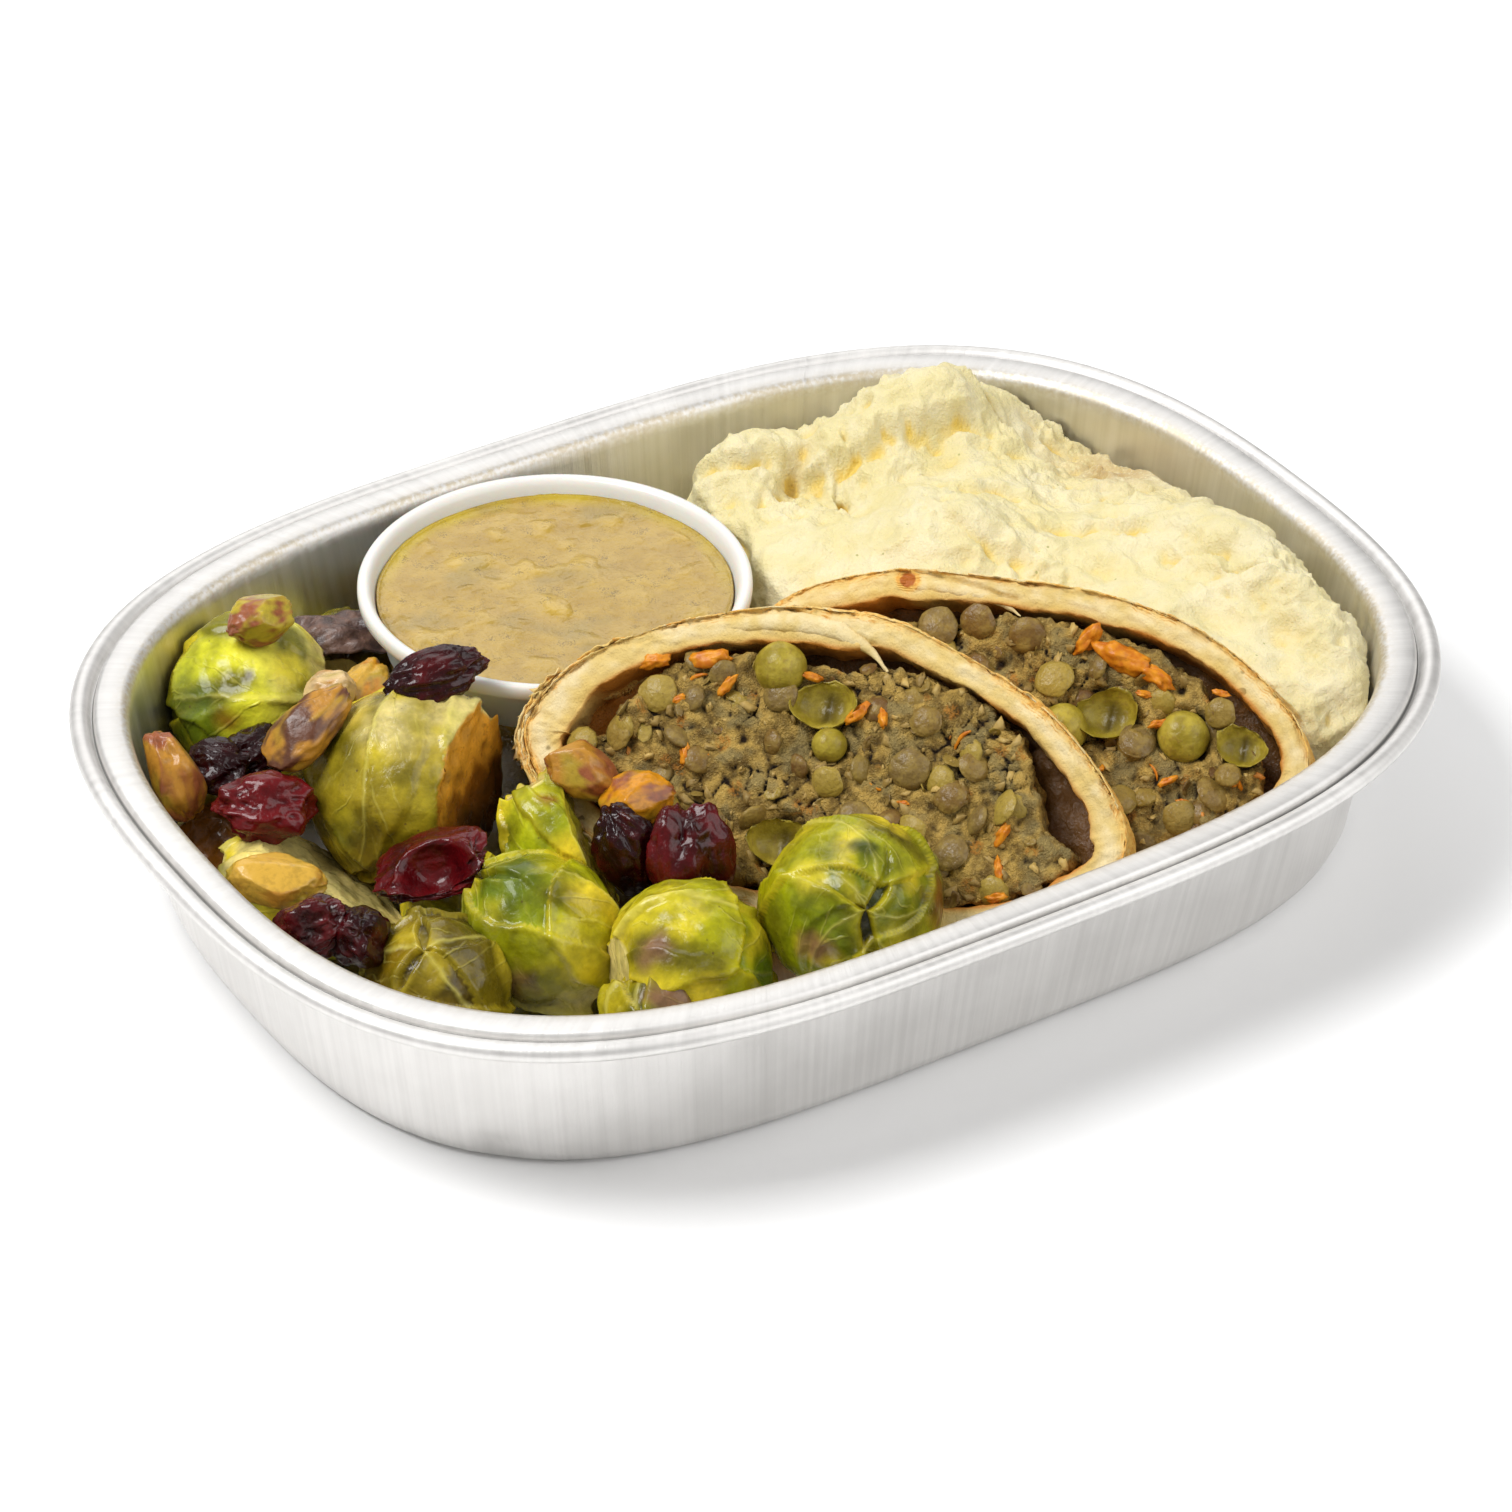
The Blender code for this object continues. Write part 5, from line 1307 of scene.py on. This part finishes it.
def make_sprout(number, node, centre, sizes, stem, leaves, twist, grounds, stains):
    chance = np.random.default_rng(100 + number)
    columns, rows = (150, 104) if max(sizes) > 10 else (96, 64)
    points, faces, polar, turn = ball(columns, rows)
    radius = float(np.mean(sizes))
    pile = np.zeros(len(points))
    top = np.zeros(len(points), int)
    rim = np.zeros(len(points))
    centres = number * 1.9 + np.arange(leaves) * 2.39996
    reaches = np.where(np.arange(leaves) < 3, 1.08, chance.uniform(0.62, 0.95, leaves))
    ragged = wavy(points, 0.45, number) * 0.10 + wavy(points, 0.16, number + 1) * 0.03
    for leaf in range(leaves):
        aside = (turn - centres[leaf] - twist * polar + math.pi) % (2 * math.pi) - math.pi
        length = clamped(polar / math.pi / reaches[leaf])
        width = 1.62 * np.sqrt(1 - length**2.6) * (1 + ragged)
        inside = np.minimum((width - np.abs(aside)) * np.sin(polar), (1 - length) * 3.0) * radius
        on = inside > 0
        rise = 0.95 * clamped(inside / 0.45) - 0.45 * clamped(inside / 9)
        curl = 0.50 * bell(inside - 0.8, 0.9) * (0.5 + wavy(points, 0.6, leaf + number))
        pile = np.where(on, pile * 0.72 + rise + curl, pile)
        top = np.where(on, leaf, top)
        rim = np.where(on, np.exp(-inside / 1.1), rim)
    aside = (turn - centres[top] - twist * polar + math.pi) % (2 * math.pi) - math.pi
    across = aside * np.sin(polar) * radius
    rib = 0.55 * bell(across, 1.0) * clamped(1.15 - polar / 2.4)
    pucker = 0.75 * wavy(points, 0.5, number + 5) + 0.22 * wavy(points, 0.2, number + 6)
    pucker = pucker + 0.05 * wavy(points, 0.08, number)
    height = np.minimum(points[:, 2], 0.88)
    slim = 1 - 0.16 * clamped(height) ** 2
    swell = 1 + (pile - 1.25 + rib + pucker) / radius
    flat = points[:, 2] > 0.88
    unit = np.c_[points[:, :2] * (slim * swell)[:, None], height * np.where(flat, 1, swell)]
    world_points = (unit * sizes) @ turned_to(stem).T + centre
    tone = np.clip(polar / math.pi * 2.1 - 0.12 + 0.25 * wavy(points, 0.5, number + 7), 0, 2)
    paint = blend(blend(grounds[0], grounds[1], tone), grounds[2], tone - 1)
    leaf_tone = chance.uniform(0.70, 1.15, leaves)[top]
    greener = chance.uniform(0.80, 1.05, leaves)[top]
    paint = paint * leaf_tone[:, None] * np.c_[greener, np.ones((len(points), 2))]
    dulled = 2.3 * wavy(world_points, 8.0, number + 11) - 0.05
    paint = blend(paint, paint * (0.22, 0.24, 0.2) + OLIVE * 0.2, dulled)
    paint = blend(paint, PALE * 1.05, 1.7 * wavy(world_points, 7.0, number + 15) - 0.15)
    paint = blend(paint, PALE, rim * 0.5)
    # Painted shade: where a leaf lies under the edge of the one above, it is darkened.
    under = clamped((0.6 - pile) / 0.5)
    paint = blend(paint, paint * 0.3, under * 0.8)
    paint = paint * TINTS.get(node, USUAL_TINT)
    stain = np.zeros(len(points))
    for place, reach, colour in stains:
        apart = np.linalg.norm(world_points - place, axis=1) / reach + 0.45 * wavy(world_points, 2.6, number)
        share = clamped(1.5 - 1.4 * apart)
        paint = blend(paint, colour, share * 0.92)
        stain = np.maximum(stain, share * float(colour.sum() < 0.5))
    paint = blend(paint, CREAM, flat * 0.95)
    cut = flat * 0.4
    if node in CUT_FACES:
        looks, distance, colour = CUT_FACES[node]
        looks = np.array(looks) / np.linalg.norm(looks)
        beyond = (world_points - centre) @ looks - distance
        held = np.maximum(beyond - 0.1, 0)
        relief = 0.22 * np.sin(held * 2.4) * clamped(held)
        relief = relief + 0.7 * wavy(world_points, 2.6, number) + 0.2 * wavy(world_points, 0.9, number)
        world_points = world_points - looks * np.where(held > 0, held - relief * 0.6, 0)[:, None]
        share = clamped(beyond / 0.4)
        face_colour = np.tile(colour, (len(points), 1))
        if node == "sprout_middle_large":
            drop = clamped((world_points[:, 2] - 12) / 17)
            drop = drop + 0.35 * wavy(world_points, 3.0, 5)
            face_colour = blend(blend(CHAR, ROAST, drop * 1.9), np.array((0.74, 0.34, 0.03)), drop * 3.2 - 1.75)
        paint = blend(paint, face_colour, share)
        cut = np.maximum(cut, share)
    world_points = kept_in_tray(world_points)
    sprout = piece(f"{node}_leafy", world_points, faces, sprout_finish, "sprout", node)
    mark(sprout, paint=np.clip(paint, 0.004, 1), stain=stain, cut=cut)
    mesh = sprout.data
    corners = np.empty(len(mesh.loops), np.int32)
    mesh.loops.foreach_get("vertex_index", corners)
    counts = np.empty(len(mesh.polygons), np.int32)
    mesh.polygons.foreach_get("loop_total", counts)
    firsts = np.concatenate([[0], np.cumsum(counts)[:-1]])
    owner = np.repeat(top[corners[firsts]], counts)
    aside = (turn[corners] - centres[owner] - twist * polar[corners] + math.pi) % (2 * math.pi) - math.pi
    flat_map = np.stack([aside * np.sin(polar[corners]) * radius, polar[corners] * radius], axis=1)
    mesh.uv_layers.new(name="leaf").data.foreach_set("uv", flat_map.astype(np.float32).ravel())


for number, row in enumerate(SPROUTS):
    make_sprout(number, *row)

# The pistachios. Shelled and roasted, each is two halves with a groove between them, tan to golden, and most
# keep some of their papery purple-brown skin.

TAN = np.array((0.46, 0.21, 0.022))
GOLD = np.array((0.60, 0.35, 0.042))
AMBER = np.array((0.62, 0.25, 0.006))
SKIN = np.array((0.12, 0.042, 0.018))
RUSSET = np.array((0.29, 0.085, 0.028))
NUT_GREEN = np.array((0.46, 0.35, 0.025))

NUTS = (
    ("pistachio_left_wall", (-84.8, 31.4, 22.6), (4.4, 4.2, 7.4), (0.15, -0.45, -0.9), TAN, RUSSET, 0.50),
    ("pistachio_back", (-60.8, 47.6, 34.2), (4.6, 3.6, 5.6), (1, 0.2, 0), NUT_GREEN, RUSSET, 0.55),
    ("pistachio_on_sprout", (-66.4, 22.6, 30.4), (4.4, 3.6, 8.2), (0.8, 0.1, 0.45), TAN, SKIN, 0.62),
    ("pistachio_behind_sprout", (-50.0, 34.6, 24.6), (4.0, 3.6, 5.6), (0.7, 0.5, 0.2), GOLD, AMBER, 0.35),
    ("pistachio_pale", (-57.4, 32.6, 27.6), (3.6, 3.2, 5.0), (0.6, -0.3, 0.3),
     np.array((0.66, 0.46, 0.22)), TAN, 0.25),
    ("pistachio_yellow", (-83.8, 0.4, 22.2), (5.2, 3.8, 7.2), (0.9, -0.5, -0.1), GOLD, TAN, 0.30),
    ("pistachio_by_slice", (-33.9, -4.8, 26.8), (4.8, 3.8, 6.4), (0.7, -0.5, -0.5), TAN, RUSSET, 0.58),
    ("pistachio_orange", (-29.8, -12.6, 24.8), (4.4, 3.8, 5.6), (0.9, -0.3, 0.1), AMBER, RUSSET, 0.35),
)


def roast_nut(wire):
    ground = wire.marked("paint", output=0)
    fine = wire.grain(0.8, detail=4)
    cloud = wire.grain(2.4, detail=3)
    shade = (fine * 0.5 + cloud * 0.5).rise(0.25, 0.75) * 0.6 + 0.66
    colour = ground.stained(shade)
    return colour, cloud * 0.25 + 0.22, wire.bump(fine * 0.5 + cloud * 0.5, 0.22)


nut_finish = finish("roast_nut", roast_nut, Coat_Weight=0.15, Coat_Roughness=0.15, Specular_IOR_Level=0.35)


def make_nut(number, node, centre, sizes, looks, ground, skin, cover):
    points, faces, *_ = ball(72, 52)
    taper = 1 - 0.14 * points[:, 2]
    side = clamped(points[:, 0] * 3)
    groove = 1 - 0.40 * bell(points[:, 1], 0.12) * side
    wrinkle = 0.14 * (0.25 - np.abs(wavy(points * (1, 1, 0.4), 0.32, number)))
    wrinkle = wrinkle + 0.03 * wavy(points, 0.12, number + 2)
    bump = 1 + 0.17 * wavy(points, 0.6, number) + wrinkle
    unit = np.c_[points[:, 0] * taper * groove * bump, points[:, 1] * taper * bump, points[:, 2] * bump]
    for facing in np.random.default_rng(number).normal(size=(6, 3)):
        facing /= np.linalg.norm(facing)
        unit -= np.outer(np.clip(unit @ facing - 0.80, 0, None) * 0.85, facing)
    world_points = kept_in_tray((unit * sizes) @ turned_to(looks).T + centre)
    patch = wavy(points, 0.9, number + 4) + 0.5 * wavy(points, 0.35, number + 6)
    patch = patch + 0.4 * wavy(points * (1, 1, 0.3), 0.2, number)
    covered = clamped((patch - 0.40 + cover) * 2.2)
    greener = 1.4 * wavy(points, 0.8, number + 9) - 0.1
    paint = blend(ground * np.ones((len(points), 3)), NUT_GREEN * 0.8, greener)
    paint = blend(paint, skin, covered)
    # Painted shade: the groove between the two halves is darkened.
    paint = blend(paint, paint * 0.35, bell(points[:, 1], 0.07) * side * 0.85)
    nut = piece(f"{node}_roast", world_points, faces, nut_finish, "pistachio", node)
    mark(nut, paint=np.clip(paint, 0.004, 1))


for number, row in enumerate(NUTS):
    make_nut(number, *row)

# The dried cranberries. Sweet, sticky and dark, each has shrunk into deep folds that catch the light, and
# one lies torn open like a small bowl.

BERRIES = (
    ("cranberry_by_cup", (-46.6, 18.4, 35.8), (4.6, 3.4, 7.6), (0.9, -0.2, 0.15), 0.35),
    ("cranberry_shiny", (-76.4, 18.0, 22.4), (5.8, 4.8, 7.4), (0.9, -0.4, -0.1), 0.9),
    ("cranberry_left", (-77.0, 31.6, 21.4), (4.4, 4.0, 5.4), (0.7, -0.7, 0), 0.1),
    ("cranberry_dark", (-70.6, 32.0, 21.4), (4.6, 3.8, 5.4), (0.8, 0.3, 0), 0.0),
    ("cranberry_open", (-62.0, -7.4, 21.2), (6.8, 3.6, 8.8), (0.8, -0.5, 0.35), 0.7),
    ("cranberry_low_left", (-84.6, -12.2, 22.4), (4.8, 4.4, 5.6), (0.4, -0.6, 0.5), 0.5),
    ("cranberry_low_right", (-79.6, -15.8, 20.6), (4.8, 4.4, 5.2), (0.5, 0.3, -0.6), 0.3),
    ("cranberry_behind", (-33.8, -17.8, 19.9), (4.8, 4.8, 7.4), (-0.3, 0.4, 0.8), 0.2),
    ("cranberry_front", (-28.8, -24.8, 21.0), (6.2, 5.0, 8.0), (0.25, 0.3, 0.9), 0.6),
)


def berry_skin(wire):
    red = wire.marked("red")
    deep = wire.marked("hollow")
    fine = wire.grain(0.9, detail=4)
    cloud = wire.grain(2.6, detail=3)
    redder = (red * 0.75 + (cloud - 0.5) * 0.7).rise(0.05, 0.9)
    skin = redder.mix((0.014, 0.0006, 0.0012), (0.135, 0.0030, 0.0050))
    # Painted shade: the folds are painted almost black.
    skin = (deep * 0.8).mix(skin, (0.010, 0.001, 0.003))
    return skin, cloud * 0.2 + 0.10, wire.bump(fine * 0.6 + cloud * 0.5, 0.45)


berry_finish = finish(
    "berry_skin", berry_skin, Coat_Weight=0.36, Coat_Roughness=0.03, Subsurface_Weight=0.05,
    Subsurface_Scale=0.0015,
    Subsurface_Radius=(1.0, 0.1, 0.12), Specular_IOR_Level=0.15,
)


def make_berry(number, node, centre, sizes, looks, redness):
    points, faces, polar, turn = ball(96, 64)
    fold = 1 + (0.10 * np.cos(3 * turn + number + 1) + 0.06 * np.cos(5 * turn - 2 * number)) * np.sin(polar)
    long_points = points * (1, 1, 0.5)
    crease = 0.24 * (0.22 - np.abs(wavy(long_points, 0.62, number)))
    crease = crease + 0.16 * (0.2 - np.abs(wavy(long_points, 0.26, number + 3)))
    bump = 1 + 0.18 * wavy(points, 0.6, number) + crease + 0.035 * (0.2 - np.abs(wavy(points, 0.11, number)))
    unit = points * (fold * bump)[:, None]
    world_points = (unit * sizes) @ turned_to(looks).T + centre
    if node == "cranberry_open":
        opening = np.array(to_viewer)
        facing = (world_points - centre) @ opening
        hollow_share = bell(np.linalg.norm(np.cross(world_points - centre, opening), axis=1), 5.2, 4)
        world_points = world_points - opening * (np.clip(facing, 0, None) * hollow_share * 1.25)[:, None]
    world_points = kept_in_tray(world_points)
    normal = world_points - np.array(centre)
    normal /= np.linalg.norm(normal, axis=1)[:, None]
    quads = np.array([face for face in faces if len(face) == 4])
    berry = piece(f"{node}_dried", world_points, faces, berry_finish, "cranberry", node)
    # Fold depth sets where the berry's shade is painted.
    level = smoothed(world_points, quads, 6, 0.7)
    hollow = clamped(((level - world_points) * normal).sum(axis=1) / 0.35)
    mark(berry, hollow=hollow, red=clamped(redness + 0.3 * wavy(points, 0.7, number + 8)))


for number, row in enumerate(BERRIES):
    make_berry(number, *row)

# The loose leaf. An outer leaf of a sprout has come off and dried on the pan. It has curled up, turned dark
# brown, and lies by the cup.


def charred(wire):
    cloud = wire.grain(2.4, detail=4)
    vein = wire.grain(0.8, detail=3)
    colour = cloud.rise(0.3, 0.7).mix((0.045, 0.022, 0.018), (0.16, 0.085, 0.060))
    return colour, cloud * 0.3 + 0.35, wire.bump(vein, 0.3)


def make_leaf():
    columns, rows = 46, 34
    across, along = np.meshgrid(np.linspace(-1, 1, columns), np.linspace(-1, 1, rows))
    x, y = across.ravel(), along.ravel() * (1 - 0.35 * across.ravel() ** 2)
    rag = 1 + 0.12 * wavy(np.c_[x, y, x * 0], 0.3, 5)
    rise = 1.6 * (x * x + y * y) + 0.7 * np.sin(4 * x + 2 * y) + 0.9 * wavy(np.c_[x, y, x * 0], 0.35, 2)
    points = np.c_[x * 8.5 * rag, y * 4.6 * rag, -rise]
    turn = Matrix.Rotation(math.radians(-22), 3, "Z") @ Matrix.Rotation(math.radians(14), 3, "X")
    points = points @ np.array(turn).T + (-45.4, 49.8, 25.9)
    leaf_finish = finish("charred_leaf", charred, Coat_Weight=0.15)
    faces = grid_faces(rows, columns, close_columns=False).tolist()
    leaf = piece("loose_leaf_curled", points, faces, leaf_finish, "charred_leaf", "loose_leaf")
    thin = leaf.modifiers.new("leaf", "SOLIDIFY")
    thin.thickness = 0.45 * MM
    thin.offset = 0


make_leaf()
